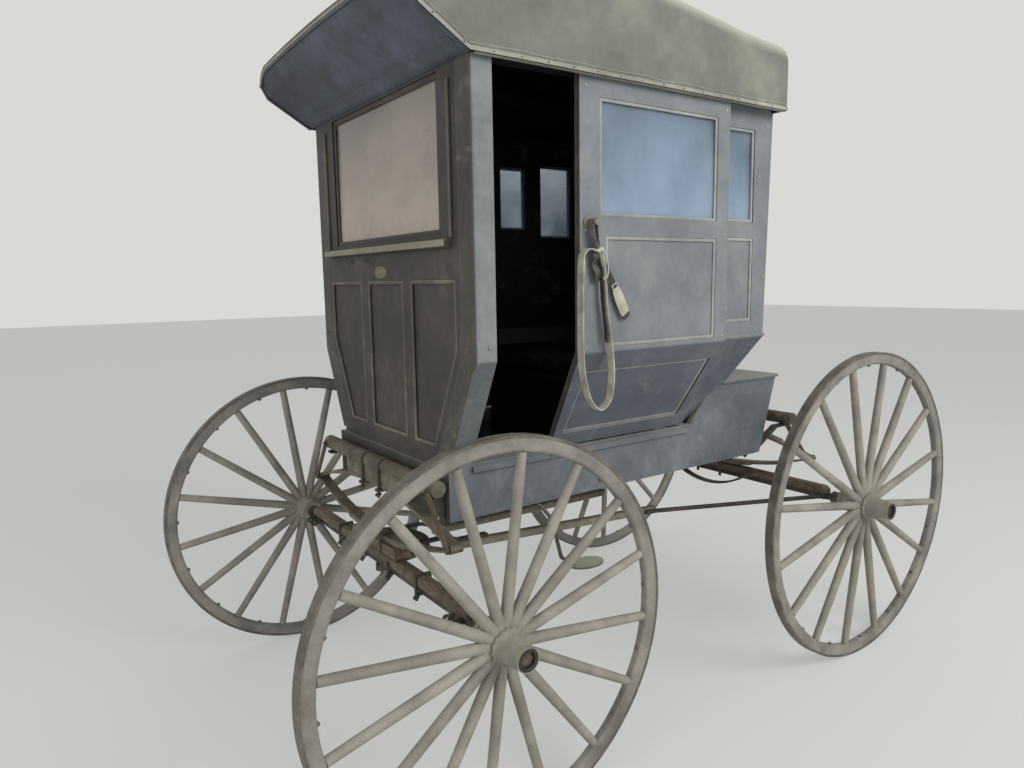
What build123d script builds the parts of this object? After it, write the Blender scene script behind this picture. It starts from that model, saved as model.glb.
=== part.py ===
from build123d import *
import math
import os

# Enclosed doctor's buggy, in millimetres. X points forward, Y to the vehicle's
# left and Z up. The origin is on the ground, midway between the foremost and
# the rearmost point of the wheels.

# Wheels and axles
WHEELBASE = 1630.0
TRACK = 1424.0
R_FRONT = 528.0
R_REAR = 571.5
SPOKES = 16
TYRE_T = 8.0
RIM_W = 30.0
FELLOE_D = 36.0
SPOKE_R_HUB = 16.0
SPOKE_R_RIM = 12.5
NAVE_R = 46.0
NAVE_IN = 86.0
NAVE_OUT = 104.0
NAVE_NOSE_R = 29.0
BAND_W = 14.0
AXLE_ARM_R = 15.0
ARM_CLEAR = 0.5
IRON_W = 26.0
IRON_H = 22.0
BED_W = 42.0
BED_H = 28.0
SEAT_GAP = 0.3

AXLE_F_X = (WHEELBASE + R_REAR - R_FRONT) / 2
AXLE_R_X = AXLE_F_X - WHEELBASE
HUB_Y = TRACK / 2

# Elliptic springs, across the vehicle over each axle
SPRING_HALF = 485.0
SPRING_RISE = 78.0
LEAF_T = 6.0
LEAF_W = 38.0
# half angle of each leaf of a half spring as a share of the main leaf's
LEAF_SHARE = (1.0, 0.7, 0.42)
EYE_R = 12.0
EYE_BOLT_R = 5.0

# Turntable between front axle and front spring
CIRCLE_R = 160.0
CIRCLE_W = 30.0
CIRCLE_T = 6.0
CIRCLE_GAP = 0.5
HEADBLOCK_H = 30.0
HEADBLOCK_W = 56.0
HEADBLOCK_HALF = 165.0
KINGPIN_R = 9.0

# Body: distances behind the front axle are negative
BODY_FRONT = -50.0
POST_DEPTH = 66.0
POST_W = 70.0
BOX_HALF = 392.0
POST_HALF = BOX_HALF + 140.0
WALL_HALF = POST_HALF - 30.0
WALL_T = 24.0
BREAK_Z = 1210.0
SILL_TOP = 905.0
BOX_BOTTOM = 745.0
BOARD_T = 20.0
BOX_FRONT = -40.0
BOX_REAR = 200.0 - WHEELBASE
BOOT_REAR_TOP = BOX_REAR - 86.0
BOOT_TOP = 1034.0
LID_T = 12.0
LID_OVER = 8.0
REAR_T = 22.0
REAR_TOP_X = -1298.0
REAR_BREAK_X = -1277.0
REAR_FOOT_X = -1165.0
# the boot's side rises from the sill to the boot's top between these two
SLANT_TOP_X = REAR_FOOT_X + 25.0
SLANT_FOOT_X = -1030.0
WALL_TOP = 1985.0
OPENING_REAR = -700.0
FRONT_T = 28.0
FRONT_LOW = SILL_TOP - 15.0

# How far the walls lean in below the break, in width for each unit of height
TURN_SLOPE = 0.48

# Front window
WINDOW_HALF = 366.0
WINDOW_LOW = 1548.0
WINDOW_HIGH = 1972.0

# Sliding doors, outside the walls
DOOR_OPEN_X = -403.0
DOOR_LEN = 634.0
DOOR_T = 22.0
DOOR_TOP = WALL_TOP - 5.0
DOOR_BOTTOM = SILL_TOP + 6
DOOR_STOP_GAP = 5.0
DOOR_LIGHT = (-980.0, -478.0, 1600.0, 1925.0)
DOOR_FIELD = (-980.0, -500.0, 1224.0, 1545.0)

# Roof
ROOF_HALF = POST_HALF + 20.0
ROOF_SKIN = 14.0
ROOF_TOP_T = 20.0
EAVE_Z = 1976.0
ROOF_REAR = REAR_TOP_X - 4.0
VISOR_X = 133.0
LINING_T = 6.0


def front_x(behind):
    """World X of a distance measured from the front axle."""
    return AXLE_F_X + behind


def span(x0, x1, y0, y1, z0, z1):
    return Pos((x0 + x1) / 2, (y0 + y1) / 2, (z0 + z1) / 2) * Box(
        abs(x1 - x0), abs(y1 - y0), abs(z1 - z0)
    )


def side_plate(points, y0, y1):
    """Outline in X and Z, thick from y0 to y1."""
    face = make_face(Polyline(*points, close=True))
    return extrude(Plane.XZ.offset(-max(y0, y1)) * face, amount=abs(y1 - y0))


def cross_plate(points, x0, x1):
    """Outline in Y and Z, thick from x0 to x1."""
    face = make_face(Polyline(*points, close=True))
    return extrude(Plane.YZ.offset(min(x0, x1)) * face, amount=abs(x1 - x0))


def ribbon(points, left, right):
    """Closed outline of a strip beside an open line of points, with mitred corners."""
    normals = []
    for (ax, ay), (bx, by) in zip(points, points[1:]):
        length = math.hypot(bx - ax, by - ay)
        normals.append((-(by - ay) / length, (bx - ax) / length))

    def shifted(distance):
        out = []
        for i, (px, py) in enumerate(points):
            before = normals[max(i - 1, 0)]
            after = normals[min(i, len(normals) - 1)]
            mx, my = before[0] + after[0], before[1] + after[1]
            scale = 2 / (mx * mx + my * my)
            out.append((px + mx * scale * distance, py + my * scale * distance))
        return out

    return shifted(left) + shifted(-right)[::-1]


def rod(start, end, radius):
    """Round bar between two points."""
    axis = Vector(*end) - Vector(*start)
    place = Plane(origin=start, z_dir=axis)
    return extrude(place * Circle(radius), amount=axis.length)


def mirrored(shape):
    return mirror(shape, about=Plane.XZ)


def bar(start, end, width, height):
    """Straight bar of rectangular section between two points, its width kept level."""
    axis = Vector(*end) - Vector(*start)
    level = Vector(0, 0, 1).cross(axis)
    place = Plane(origin=start, x_dir=level, z_dir=axis)
    return extrude(place * Rectangle(width, height), amount=axis.length)


# Wheels: each is made about local Z with the outside at +Z


def ring(outer, inner, z0, z1, soft=0.0):
    profile = Pos((outer + inner) / 2, (z0 + z1) / 2) * Rectangle(outer - inner, z1 - z0)
    if soft:
        edges = profile.vertices().sort_by(Axis.X)[:2]
        profile = fillet(edges, soft)
    return revolve(Plane.XZ * profile, Axis.Z)


def felloe_inner(radius):
    return radius - TYRE_T - FELLOE_D


def wheel_pieces(radius):
    tyre = ring(radius, radius - TYRE_T, -RIM_W / 2, RIM_W / 2)
    inner = felloe_inner(radius)
    felloe = ring(radius - TYRE_T - SEAT_GAP, inner, -RIM_W / 2 + 1, RIM_W / 2 - 1, 8.0)
    bore = AXLE_ARM_R + ARM_CLEAR
    # radius and distance out along the axle of the turned nave's outline
    outline = (
        (bore, -NAVE_IN),
        (NAVE_R - 10, -NAVE_IN),
        (NAVE_R - 10, -NAVE_IN + BAND_W),
        (NAVE_R - 3, -27),
        (NAVE_R, -24),
        (NAVE_R, 24),
        (NAVE_R - 3, 27),
        (NAVE_R - 6, 36),
        (NAVE_NOSE_R + 2, NAVE_OUT - BAND_W),
        (NAVE_NOSE_R, NAVE_OUT - BAND_W),
        (NAVE_NOSE_R, NAVE_OUT),
        (NAVE_NOSE_R - 7, NAVE_OUT),
        (NAVE_NOSE_R - 7, NAVE_OUT - 24),
        (bore, NAVE_OUT - 24),
    )
    nave = revolve(Plane.XZ * make_face(Polyline(*outline, close=True)), Axis.Z)
    # an iron band round each end of the nave
    bands = [
        ring(NAVE_R - 7, NAVE_R - 10 + SEAT_GAP / 3, -NAVE_IN, -NAVE_IN + BAND_W, 1.5),
        ring(NAVE_NOSE_R + 3, NAVE_NOSE_R + SEAT_GAP / 3, NAVE_OUT - BAND_W + SEAT_GAP / 3, NAVE_OUT, 1.5),
    ]
    foot = NAVE_R - 5
    length = inner - SEAT_GAP - foot
    spoke = Pos(foot + length / 2, 0, 0) * Rot(0, 90, 0) * Cone(SPOKE_R_HUB, SPOKE_R_RIM, length)
    wood = nave + [Rot(0, 0, i * 360 / SPOKES) * spoke for i in range(SPOKES)]
    return {"tyre": [tyre], "felloe": [felloe], "nave_and_spokes": [wood], "nave_bands": bands}


# end and side of the vehicle, which way the wheel faces, and where its first
# spoke stands at rest, in degrees up from straight forward
WHEELS = (
    ("front", "left", 1, 7.5),
    ("front", "right", -1, 14.8),
    ("rear", "left", 1, 9.3),
    ("rear", "right", -1, 1.6),
)


def place_wheel(shapes, x, radius, side, turn):
    place = Pos(x, side * HUB_Y, radius) * Rot(-90 * side, 0, 0) * Rot(0, 0, -side * turn)
    return [place * shape for shape in shapes]


# Axles


def axle_iron(x, z):
    bar_half = HUB_Y - NAVE_IN - 34
    iron = span(x - IRON_W / 2, x + IRON_W / 2, -bar_half, bar_half, z - IRON_H / 2, z + IRON_H / 2)
    arm_end = HUB_Y + NAVE_OUT - 24
    for side in (1, -1):
        collar_in = side * (bar_half - 2)
        collar_out = side * (HUB_Y - NAVE_IN - ARM_CLEAR)
        arm = Pos(x, side * (bar_half + arm_end) / 2, z) * Rot(90, 0, 0)
        iron += arm * Cylinder(AXLE_ARM_R, arm_end - bar_half + 4)
        shoulder = Pos(x, (collar_in + collar_out) / 2, z) * Rot(90, 0, 0)
        iron += shoulder * Cylinder(AXLE_ARM_R + 9, abs(collar_out - collar_in))
        nut = Pos(x, side * (arm_end + 8.5), z) * Rot(90, 0, 0)
        iron += nut * extrude(RegularPolygon(NAVE_NOSE_R - 9, 6), amount=8, both=True)
    return iron


def axle_bed(x, z_iron):
    low = z_iron + IRON_H / 2
    half = HUB_Y - NAVE_IN - 62
    bed = span(x - BED_W / 2, x + BED_W / 2, -half, half, low, low + BED_H)
    top = [e for e in bed.edges().filter_by(Axis.Y) if e.center().Z > low + BED_H - 1]
    bed = fillet(top, 12)
    for side in (1, -1):
        above = low + BED_H + 2
        nose = ((side * half, above - 18), (side * half, above), (side * (half - 18), above))
        bed -= cross_plate(nose, x - BED_W, x + BED_W)
    return bed


# Elliptic springs


def main_radius():
    return (SPRING_HALF**2 + SPRING_RISE**2) / (2 * SPRING_RISE)


def leaf(index):
    """One leaf of an upper half spring, in Y and Z about the middle of the eyes."""
    radius = main_radius() + index * LEAF_T
    angle = math.asin(SPRING_HALF / main_radius()) * LEAF_SHARE[index]
    drop = SPRING_RISE - main_radius()

    def at(r, a):
        return (r * math.sin(a), r * math.cos(a) + drop)

    low = ThreePointArc(at(radius, -angle), at(radius, 0), at(radius, angle))
    outer = radius + LEAF_T
    high = ThreePointArc(at(outer, -angle), at(outer, 0), at(outer, angle))
    ends = [Line(low @ 0, high @ 0), Line(low @ 1, high @ 1)]
    face = make_face([low, high] + ends)
    return extrude(Plane.YZ.offset(-LEAF_W / 2) * face, amount=LEAF_W)


def cross_pin(x0, x1, y, z, radius):
    return Pos((x0 + x1) / 2, y, z) * Rot(0, 90, 0) * Cylinder(radius, abs(x1 - x0))


def half_springs():
    """Upper half with an eye in the middle of its width, lower half with a fork and bolt."""
    pack = leaf(0) + [leaf(i) for i in range(1, len(LEAF_SHARE))]
    upper = pack
    lower = mirror(pack, about=Plane.XY)
    mid = LEAF_W / 4
    for y in (-SPRING_HALF, SPRING_HALF):
        room = EYE_R + SEAT_GAP
        for x0, x1 in ((-LEAF_W / 2, -mid + SEAT_GAP), (mid - SEAT_GAP, LEAF_W / 2)):
            upper -= cross_pin(x0, x1, y, 0, room)
        upper += cross_pin(-mid + SEAT_GAP, mid - SEAT_GAP, y, 0, EYE_R)
        upper -= cross_pin(-LEAF_W, LEAF_W, y, 0, EYE_BOLT_R + SEAT_GAP)
        lower -= cross_pin(-mid, mid, y, 0, room)
        for x0, x1 in ((-LEAF_W / 2, -mid), (mid, LEAF_W / 2)):
            lower += cross_pin(x0, x1, y, 0, EYE_R)
        lower += cross_pin(-LEAF_W / 2 - 4, LEAF_W / 2 + LINK_T + 6, y, 0, EYE_BOLT_R)
    return upper, lower


LINK_T = 5.0
PACK = LEAF_T * len(LEAF_SHARE)
HEADBLOCK_Z = R_FRONT + IRON_H / 2 + BED_H + 2 * CIRCLE_T + CIRCLE_GAP
EYE_F_Z = HEADBLOCK_Z + HEADBLOCK_H + PACK + SPRING_RISE
EYE_R_Z = R_REAR + IRON_H / 2 + BED_H + PACK + SPRING_RISE
BAR_R = 24.0
BAR_HALF = BOX_HALF + 8.0
BLOCK_H = 25.0
BLOCK_HALF = 205.0
BLOCK_W = 40.0
BAR_F_Z = EYE_F_Z + SPRING_RISE + PACK + BLOCK_H + BAR_R
BAR_R_Z = EYE_R_Z + SPRING_RISE + PACK + BLOCK_H + BAR_R


def spring_bar(x, bar_z, eye_z):
    """Round cross bar with the block that seats on the curved top of the spring."""
    bar = Pos(x, 0, bar_z) * Rot(90, 0, 0) * Cylinder(BAR_R, 2 * BAR_HALF)
    low = eye_z
    block = span(x - BLOCK_W / 2, x + BLOCK_W / 2, -BLOCK_HALF, BLOCK_HALF, low, bar_z)
    pack_r = main_radius() + PACK + SEAT_GAP / 3
    pack_z = eye_z + SPRING_RISE - main_radius()
    block -= cross_pin(x - BLOCK_W, x + BLOCK_W, 0, pack_z, pack_r)
    for side in (1, -1):
        start, end = BLOCK_HALF - 60, BLOCK_HALF + 30
        slope = ((side * start, low - 60), (side * end, low - 60), (side * end, bar_z - BAR_R + 8))
        block -= cross_plate(slope, x - BLOCK_W, x + BLOCK_W)
    return bar + block


def strap_loop(x, y, bar_z, foot_z, half_gap, width):
    """U-shaped iron over a round bar with two legs down to a cross plate."""
    band = Pos(x, y, bar_z) * Rot(90, 0, 0) * Cylinder(half_gap + 5, width)
    band -= Pos(x, y, bar_z) * Rot(90, 0, 0) * Cylinder(half_gap, width + 2)
    band -= span(x - 60, x + 60, y - width, y + width, bar_z - 60, bar_z)
    for side in (1, -1):
        inner = x + side * half_gap
        band += span(inner, inner + side * 5, y - width / 2, y + width / 2, foot_z, bar_z)
    return band


CLIP_W = 12.0
CLIP_Y = 62.0


def upper_clips(x, bar_z, eye_z):
    foot = eye_z + SPRING_RISE - SEAT_GAP - 8
    clips = []
    for y in (-CLIP_Y, CLIP_Y):
        sag = main_radius() * (1 - math.cos(math.asin((CLIP_Y + CLIP_W) / main_radius())))
        foot_y = foot - sag
        loop = strap_loop(x, y, bar_z, foot_y - 8, BAR_R + SEAT_GAP, CLIP_W)
        plate = span(x - 34, x + 34, y - CLIP_W, y + CLIP_W, foot_y, foot_y + 8)
        clips.append(loop + plate)
    return clips


def lower_clips(x, eye_z, foot_z, half_gap):
    """Straps over the lower spring pack, down both sides of what it rests on."""
    top = eye_z - SPRING_RISE + SEAT_GAP
    clips = []
    for y in (-CLIP_Y, CLIP_Y):
        sag = main_radius() * (1 - math.cos(math.asin((CLIP_Y + CLIP_W) / main_radius())))
        y0, y1 = y - CLIP_W / 2, y + CLIP_W / 2
        cap = span(x - half_gap - 5, x + half_gap + 5, y0, y1, top + sag, top + sag + 6)
        for side in (1, -1):
            inner = x + side * half_gap
            cap += span(inner, inner + side * 5, y0, y1, foot_z, top + sag + 6)
        clips.append(cap)
    return clips


def link(y0, z0, y1, z1, width, x0, x1, hole):
    """Flat link in Y and Z with round ends and a hole at its second end."""
    length = math.hypot(y1 - y0, z1 - z0)
    angle = math.degrees(math.atan2(z1 - z0, y1 - y0))
    face = SlotCenterToCenter(length, width) - Pos(length / 2, 0) * Circle(hole)
    face = Pos((y0 + y1) / 2, (z0 + z1) / 2) * Rot(0, 0, angle) * face
    return extrude(Plane.YZ.offset(min(x0, x1)) * face, amount=abs(x1 - x0))


# Turntable


def half_circle(z0, z1):
    plate = ring(CIRCLE_R, CIRCLE_R - CIRCLE_W, z0, z1)
    plate -= span(20, CIRCLE_R + 10, -CIRCLE_R - 10, CIRCLE_R + 10, z0 - 1, z1 + 1)
    plate += span(-20, 20, -CIRCLE_R + 10, CIRCLE_R - 10, z0, z1)
    plate -= Pos(0, 0, (z0 + z1) / 2) * Cylinder(KINGPIN_R + SEAT_GAP, z1 - z0 + 2)
    return Pos(AXLE_F_X, 0, 0) * plate


# Body shell


def wall_line(half, low_z):
    """Y and Z of a side wall's outer face, upright above the break and turned under below."""
    return ((half, WALL_TOP), (half, BREAK_Z), (half - TURN_SLOPE * (BREAK_Z - low_z), low_z))


def inner_line(half, thick, low_z, top=WALL_TOP):
    """Y and Z of the inner face of a wall of one thickness."""
    lean = math.sqrt(1 + TURN_SLOPE**2)
    knee = BREAK_Z + thick * (lean - 1) / TURN_SLOPE
    return ((half - thick, top), (half - thick, knee), (inner_half_at(half, thick, low_z), low_z))


def inner_half_at(half, thick, z):
    lean = math.sqrt(1 + TURN_SLOPE**2)
    return min(half - thick, half - TURN_SLOPE * (BREAK_Z - z) - thick * lean)


def wall_strip(half, thick, low_z, x0, x1, top=WALL_TOP):
    line = list(wall_line(half, low_z - 60))
    line[0] = (half, top)
    outline = ribbon(line, 0, thick)
    strip = cross_plate(outline, x0, x1)
    return strip - span(x0 - 5, x1 + 5, 0, 900, low_z - 300, low_z)


def window(x0, x1, z0, z1, y0, y1):
    return span(x0, x1, y0, y1, z0, z1)


# rear and front edge behind the front axle, bottom and top of the quarter lights
QUARTER_LIGHTS = ((-952.0, -824.0, 1637.0, 1892.0), (-1205.0, -1035.0, 1606.0, 1912.0))
QUARTER_FIELD = (-1207.0, -1038.0, 1268.0, 1553.0)


def quarter():
    """Fixed side wall behind the door opening, left side."""
    x0, x1 = front_x(REAR_TOP_X), front_x(OPENING_REAR)
    wall = wall_strip(WALL_HALF, WALL_T, SILL_TOP + SEAT_GAP, x0, x1)
    edge = (
        (x1 + 5, SILL_TOP - 50),
        (x1 + 5, WALL_TOP + 5),
        (x0, WALL_TOP + 5),
        (front_x(REAR_BREAK_X), BREAK_Z),
        (front_x(REAR_FOOT_X), BOOT_TOP + SEAT_GAP),
        (front_x(SLANT_TOP_X), BOOT_TOP + SEAT_GAP),
        (front_x(SLANT_FOOT_X), SILL_TOP + SEAT_GAP),
        (front_x(SLANT_FOOT_X), SILL_TOP - 50),
    )
    wall = wall & side_plate(edge, 0, WALL_HALF + 50)
    for a, b, low, high in QUARTER_LIGHTS:
        wall -= window(front_x(a), front_x(b), low, high, WALL_HALF - 2 * WALL_T, WALL_HALF + 5)
    a, b, low, high = QUARTER_FIELD
    wall -= window(front_x(a), front_x(b), low, high, WALL_HALF - 6, WALL_HALF + 5)
    return wall


def posts():
    x1 = front_x(BODY_FRONT)
    post = wall_strip(POST_HALF, POST_W, SILL_TOP + SEAT_GAP, x1 - POST_DEPTH, x1)
    corner = [
        e
        for e in post.edges()
        if e.center().X > x1 - 1 and e.center().Y > 470 and e.length > 200 and abs(e.tangent_at(0.5).X) < 0.1
    ]
    outer = sorted(corner, key=lambda e: -e.center().Y - e.center().Z * 0.2)[:2]
    return fillet(outer, 16)


# bottom and top of the three sunk fields, half the middle one's width, the
# width of the bars between them and of the stile beside the post
FIELD_LOW, FIELD_HIGH = 944.0, 1428.0
FIELD_HALF = 128.0
MULLION = 44.0
FRONT_STILE = 23.0
FIELD_DEPTH = 8.0


def front_panel(void):
    x1 = front_x(BODY_FRONT)
    x0 = x1 - FRONT_T
    outline = list(inner_line(POST_HALF, POST_W + SEAT_GAP, FRONT_LOW, EAVE_Z + 300))
    outline += [(-y, z) for y, z in outline[::-1]]
    panel = cross_plate(outline, x0, x1)
    panel -= span(x0 - 5, x1 + 5, -WINDOW_HALF, WINDOW_HALF, WINDOW_LOW, WINDOW_HIGH)
    z0, z1 = FIELD_LOW, FIELD_HIGH
    inner = FIELD_HALF + MULLION
    fields = [((-FIELD_HALF, z0), (FIELD_HALF, z0), (FIELD_HALF, z1), (-FIELD_HALF, z1))]
    side = list(inner_line(POST_HALF, POST_W + FRONT_STILE, z0, z1))[::-1] + [(inner, z1), (inner, z0)]
    fields += [side, tuple((-y, z) for y, z in side)]
    for field in fields:
        panel -= cross_plate(field, x1 - FIELD_DEPTH, x1 + 5)
    upper = panel & span(x0 - 5, x1 + 5, -900, 900, WALL_TOP + 40, EAVE_Z + 400)
    upper = upper & void
    lower = panel & span(x0 - 5, x1 + 5, -900, 900, 0, WALL_TOP + 40)
    return lower + upper


REAR_LIGHT = (170.0, 1640.0, 1880.0)


# the rear wall's outer face from the top down
REAR_LINE = (
    (front_x(REAR_TOP_X), WALL_TOP),
    (front_x(REAR_BREAK_X), BREAK_Z),
    (front_x(REAR_FOOT_X), BOOT_TOP + SEAT_GAP),
)


def rear_panel():
    panel = side_plate(ribbon(REAR_LINE, REAR_T, 0), -WALL_HALF, WALL_HALF)
    inside = list(inner_line(WALL_HALF, WALL_T + SEAT_GAP, SILL_TOP))
    inside += [(-y, z) for y, z in inside[::-1]]
    x0, x1 = front_x(REAR_TOP_X) - 30, front_x(REAR_FOOT_X) + 60
    panel = panel & cross_plate(inside, x0, x1)
    panel -= span(x0, x1, -900, 900, 0, BOOT_TOP + SEAT_GAP)
    half, low, high = REAR_LIGHT
    panel -= span(x0, x1, -half, half, low, high)
    return panel


def roof_section(x, half, shoulder_z, crown, radius, low):
    """Section across the roof: upright skirts, rounded shoulders and a shallow crown."""
    rise_z = shoulder_z - radius
    corner = radius * (1 - math.sqrt(0.5))
    lift = radius * 0.25
    top_z, corner_z = shoulder_z + lift, shoulder_z - corner + lift * 0.4
    parts = [
        Line((-half, low), (half, low)),
        Line((half, low), (half, rise_z)),
        ThreePointArc((half, rise_z), (half - corner, corner_z), (half - radius, top_z)),
        ThreePointArc((half - radius, top_z), (0, shoulder_z + crown), (radius - half, top_z)),
        ThreePointArc((radius - half, top_z), (corner - half, corner_z), (-half, rise_z)),
        Line((-half, rise_z), (-half, low)),
    ]
    return Plane.YZ.offset(front_x(x)) * make_face(parts)


# distance behind the front axle, shoulder height, height of the crown over it
ROOF_STATIONS = (
    (VISOR_X, EAVE_Z + 160, 30.0),
    (BODY_FRONT - 10, EAVE_Z + 242, 42.0),
    (REAR_TOP_X / 2, EAVE_Z + 282, 58.0),
    (ROOF_REAR, EAVE_Z + 212, 42.0),
)
SHOULDER_R = 62.0


def roof():
    outer = loft([roof_section(x, ROOF_HALF, z, c, SHOULDER_R, EAVE_Z) for x, z, c in ROOF_STATIONS])
    inner = []
    ends = (VISOR_X + 30, ROOF_STATIONS[1][0], ROOF_STATIONS[2][0], ROOF_REAR + ROOF_SKIN)
    for (x, z, c), end in zip(ROOF_STATIONS, ends):
        inner.append(
            roof_section(end, ROOF_HALF - ROOF_SKIN, z - ROOF_TOP_T, c, SHOULDER_R - 6, EAVE_Z - 40)
        )
    void = loft(inner)
    shell = outer - void
    rake = (
        (front_x(BODY_FRONT + 12), EAVE_Z - 60),
        (front_x(BODY_FRONT + 12), EAVE_Z),
        (front_x(VISOR_X - 25), EAVE_Z + 88),
        (front_x(VISOR_X), EAVE_Z + 132),
        (front_x(VISOR_X + 60), EAVE_Z + 132),
        (front_x(VISOR_X + 60), EAVE_Z - 60),
    )
    shell -= side_plate(rake, -ROOF_HALF - 5, ROOF_HALF + 5)
    # the rear skirt stands on top of the rear wall
    on_wall = WALL_HALF + SEAT_GAP
    skirt_x = front_x(ROOF_REAR)
    shell -= span(skirt_x - 5, skirt_x + ROOF_SKIN + 5, -on_wall, on_wall, EAVE_Z - 5, WALL_TOP + SEAT_GAP)
    return shell, void


# ends of the visor lining, and how far its sides and its middle lie above the eaves
LINING_ENDS = ((VISOR_X - 8, 126.0, 164.0), (BODY_FRONT + SEAT_GAP, 4.0, 76.0))


def visor_lining(void):
    """Arched boards that close the visor from below, up to the front panel."""
    sections = []
    for x, side_z, mid_z in LINING_ENDS:
        arcs = []
        for z in (EAVE_Z, EAVE_Z + LINING_T):
            arcs.append(ThreePointArc((-ROOF_HALF, z + side_z), (0, z + mid_z), (ROOF_HALF, z + side_z)))
        ends = [Line(arcs[0] @ 0, arcs[1] @ 0), Line(arcs[0] @ 1, arcs[1] @ 1)]
        sections.append(Plane.YZ.offset(front_x(x)) * make_face(arcs + ends))
    return loft(sections, ruled=True) & void


# Sliding door, left side, at rest slid back

# front and rear corners of the lower sunk field, measured up the slanting face
LOWER_FIELD = ((-435.0, 925.0), (-450.0, 1146.0), (-996.0, 1146.0), (-941.0, 925.0))


def door():
    front = front_x(DOOR_OPEN_X)
    rear = front - DOOR_LEN
    y1, y0 = POST_HALF, POST_HALF - DOOR_T
    leaf = wall_strip(POST_HALF, DOOR_T, DOOR_BOTTOM, rear, front, DOOR_TOP)
    edge = (
        (front + 5, DOOR_BOTTOM - 5),
        (front + 5, DOOR_TOP + 5),
        (rear - 5, DOOR_TOP + 5),
        (rear - 5, BREAK_Z - 20),
        (rear + 52, DOOR_BOTTOM - 5),
    )
    leaf = leaf & side_plate(edge, 0, POST_HALF + 50)
    a, b, low, high = DOOR_LIGHT
    leaf -= window(front_x(a), front_x(b), low, high, y0 - 5, y1 + 5)
    a, b, low, high = DOOR_FIELD
    leaf -= window(front_x(a), front_x(b), low, high, y1 - 6, y1 + 5)
    turn = math.degrees(math.atan(TURN_SLOPE))
    # the sunk field is cut square to the slanting outer face
    cutter = side_plate([(front_x(x), z) for x, z in LOWER_FIELD], -6, 30)
    cutter = Pos(0, POST_HALF, BREAK_Z) * Rot(-turn, 0, 0) * Pos(0, 0, -BREAK_Z) * cutter
    leaf -= cutter
    # shoes that run on the track
    y = inner_half_at(POST_HALF, DOOR_T / 2, DOOR_BOTTOM)
    for x in (front - 90, rear + 150):
        leaf += span(x - 25, x + 25, y - 6, y + 6, SILL_TOP + SEAT_GAP, DOOR_BOTTOM + 6)
    return leaf


def write(name, shape):
    solids = list(shape.solids()) if not isinstance(shape, (list, tuple)) else []
    if isinstance(shape, (list, tuple)):
        for one in shape:
            solids += list(one.solids())
    whole = solids[0] if len(solids) == 1 else Compound(children=solids)
    export_step(whole, "parts/" + name + ".step")


os.makedirs("parts", exist_ok=True)

front_wheel = wheel_pieces(R_FRONT)
rear_wheel = wheel_pieces(R_REAR)
for end, side_name, side, turn in WHEELS:
    pieces, x, radius = (front_wheel, AXLE_F_X, R_FRONT) if end == "front" else (rear_wheel, AXLE_R_X, R_REAR)
    for piece, shapes in pieces.items():
        write(f"{end}_{side_name}_wheel_{piece}", place_wheel(shapes, x, radius, side, turn))

pin_hole = Pos(AXLE_F_X, 0, R_FRONT + 20) * Cylinder(KINGPIN_R + SEAT_GAP, 200)
write("front_axle_iron", axle_iron(AXLE_F_X, R_FRONT) - pin_hole)
write("front_axle_bed", axle_bed(AXLE_F_X, R_FRONT) - pin_hole)
write("rear_axle_iron", axle_iron(AXLE_R_X, R_REAR))
write("rear_axle_bed", axle_bed(AXLE_R_X, R_REAR))

circle_z = R_FRONT + IRON_H / 2 + BED_H
write("fifth_wheel_lower", half_circle(circle_z, circle_z + CIRCLE_T))
upper_z = circle_z + CIRCLE_T + CIRCLE_GAP
write("fifth_wheel_upper", half_circle(upper_z, upper_z + CIRCLE_T))
headblock = span(
    AXLE_F_X - HEADBLOCK_W / 2,
    AXLE_F_X + HEADBLOCK_W / 2,
    -HEADBLOCK_HALF,
    HEADBLOCK_HALF,
    HEADBLOCK_Z,
    HEADBLOCK_Z + HEADBLOCK_H,
)
pin_top = HEADBLOCK_Z + HEADBLOCK_H - 6
kingpin_room = Pos(AXLE_F_X, 0, pin_top / 2) * Cylinder(KINGPIN_R + SEAT_GAP / 2, pin_top + SEAT_GAP)
block_top = [e for e in headblock.edges().filter_by(Axis.X) if e.center().Z > HEADBLOCK_Z + HEADBLOCK_H - 1]
write("headblock", chamfer(block_top, 12) - kingpin_room)
pin_low = R_FRONT - IRON_H / 2 - 26
kingpin = Pos(AXLE_F_X, 0, (pin_low + pin_top) / 2) * Cylinder(KINGPIN_R, pin_top - pin_low)
kingpin += Pos(AXLE_F_X, 0, pin_low + 11) * Cylinder(KINGPIN_R + 9, 22)
write("kingpin", kingpin)

upper_half, lower_half = half_springs()
spring_places = (Pos(AXLE_F_X, 0, EYE_F_Z), Pos(AXLE_R_X, 0, EYE_R_Z))
write("upper_spring_leaves", [place * upper_half for place in spring_places])
write("lower_spring_leaves", [place * lower_half for place in spring_places])

write("spring_bars", [spring_bar(AXLE_F_X, BAR_F_Z, EYE_F_Z), spring_bar(AXLE_R_X, BAR_R_Z, EYE_R_Z)])
clips = upper_clips(AXLE_F_X, BAR_F_Z, EYE_F_Z) + upper_clips(AXLE_R_X, BAR_R_Z, EYE_R_Z)
clips += lower_clips(AXLE_F_X, EYE_F_Z, HEADBLOCK_Z + SEAT_GAP, HEADBLOCK_W / 2 + SEAT_GAP)
rear_foot = R_REAR - IRON_H / 2 - 10
clips += lower_clips(AXLE_R_X, EYE_R_Z, rear_foot, BED_W / 2 + SEAT_GAP)
write("spring_clips", clips)

links = []
for x, bar_z, eye_z in ((AXLE_F_X, BAR_F_Z, EYE_F_Z), (AXLE_R_X, BAR_R_Z, EYE_R_Z)):
    x0 = x + BAR_R + SEAT_GAP
    for side in (1, -1):
        y0, y1 = side * (BAR_HALF - 22), side * SPRING_HALF
        links.append(link(y0, bar_z, y1, eye_z, 20, x0, x0 + LINK_T, EYE_BOLT_R + SEAT_GAP))
write("spring_check_links", links)

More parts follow.
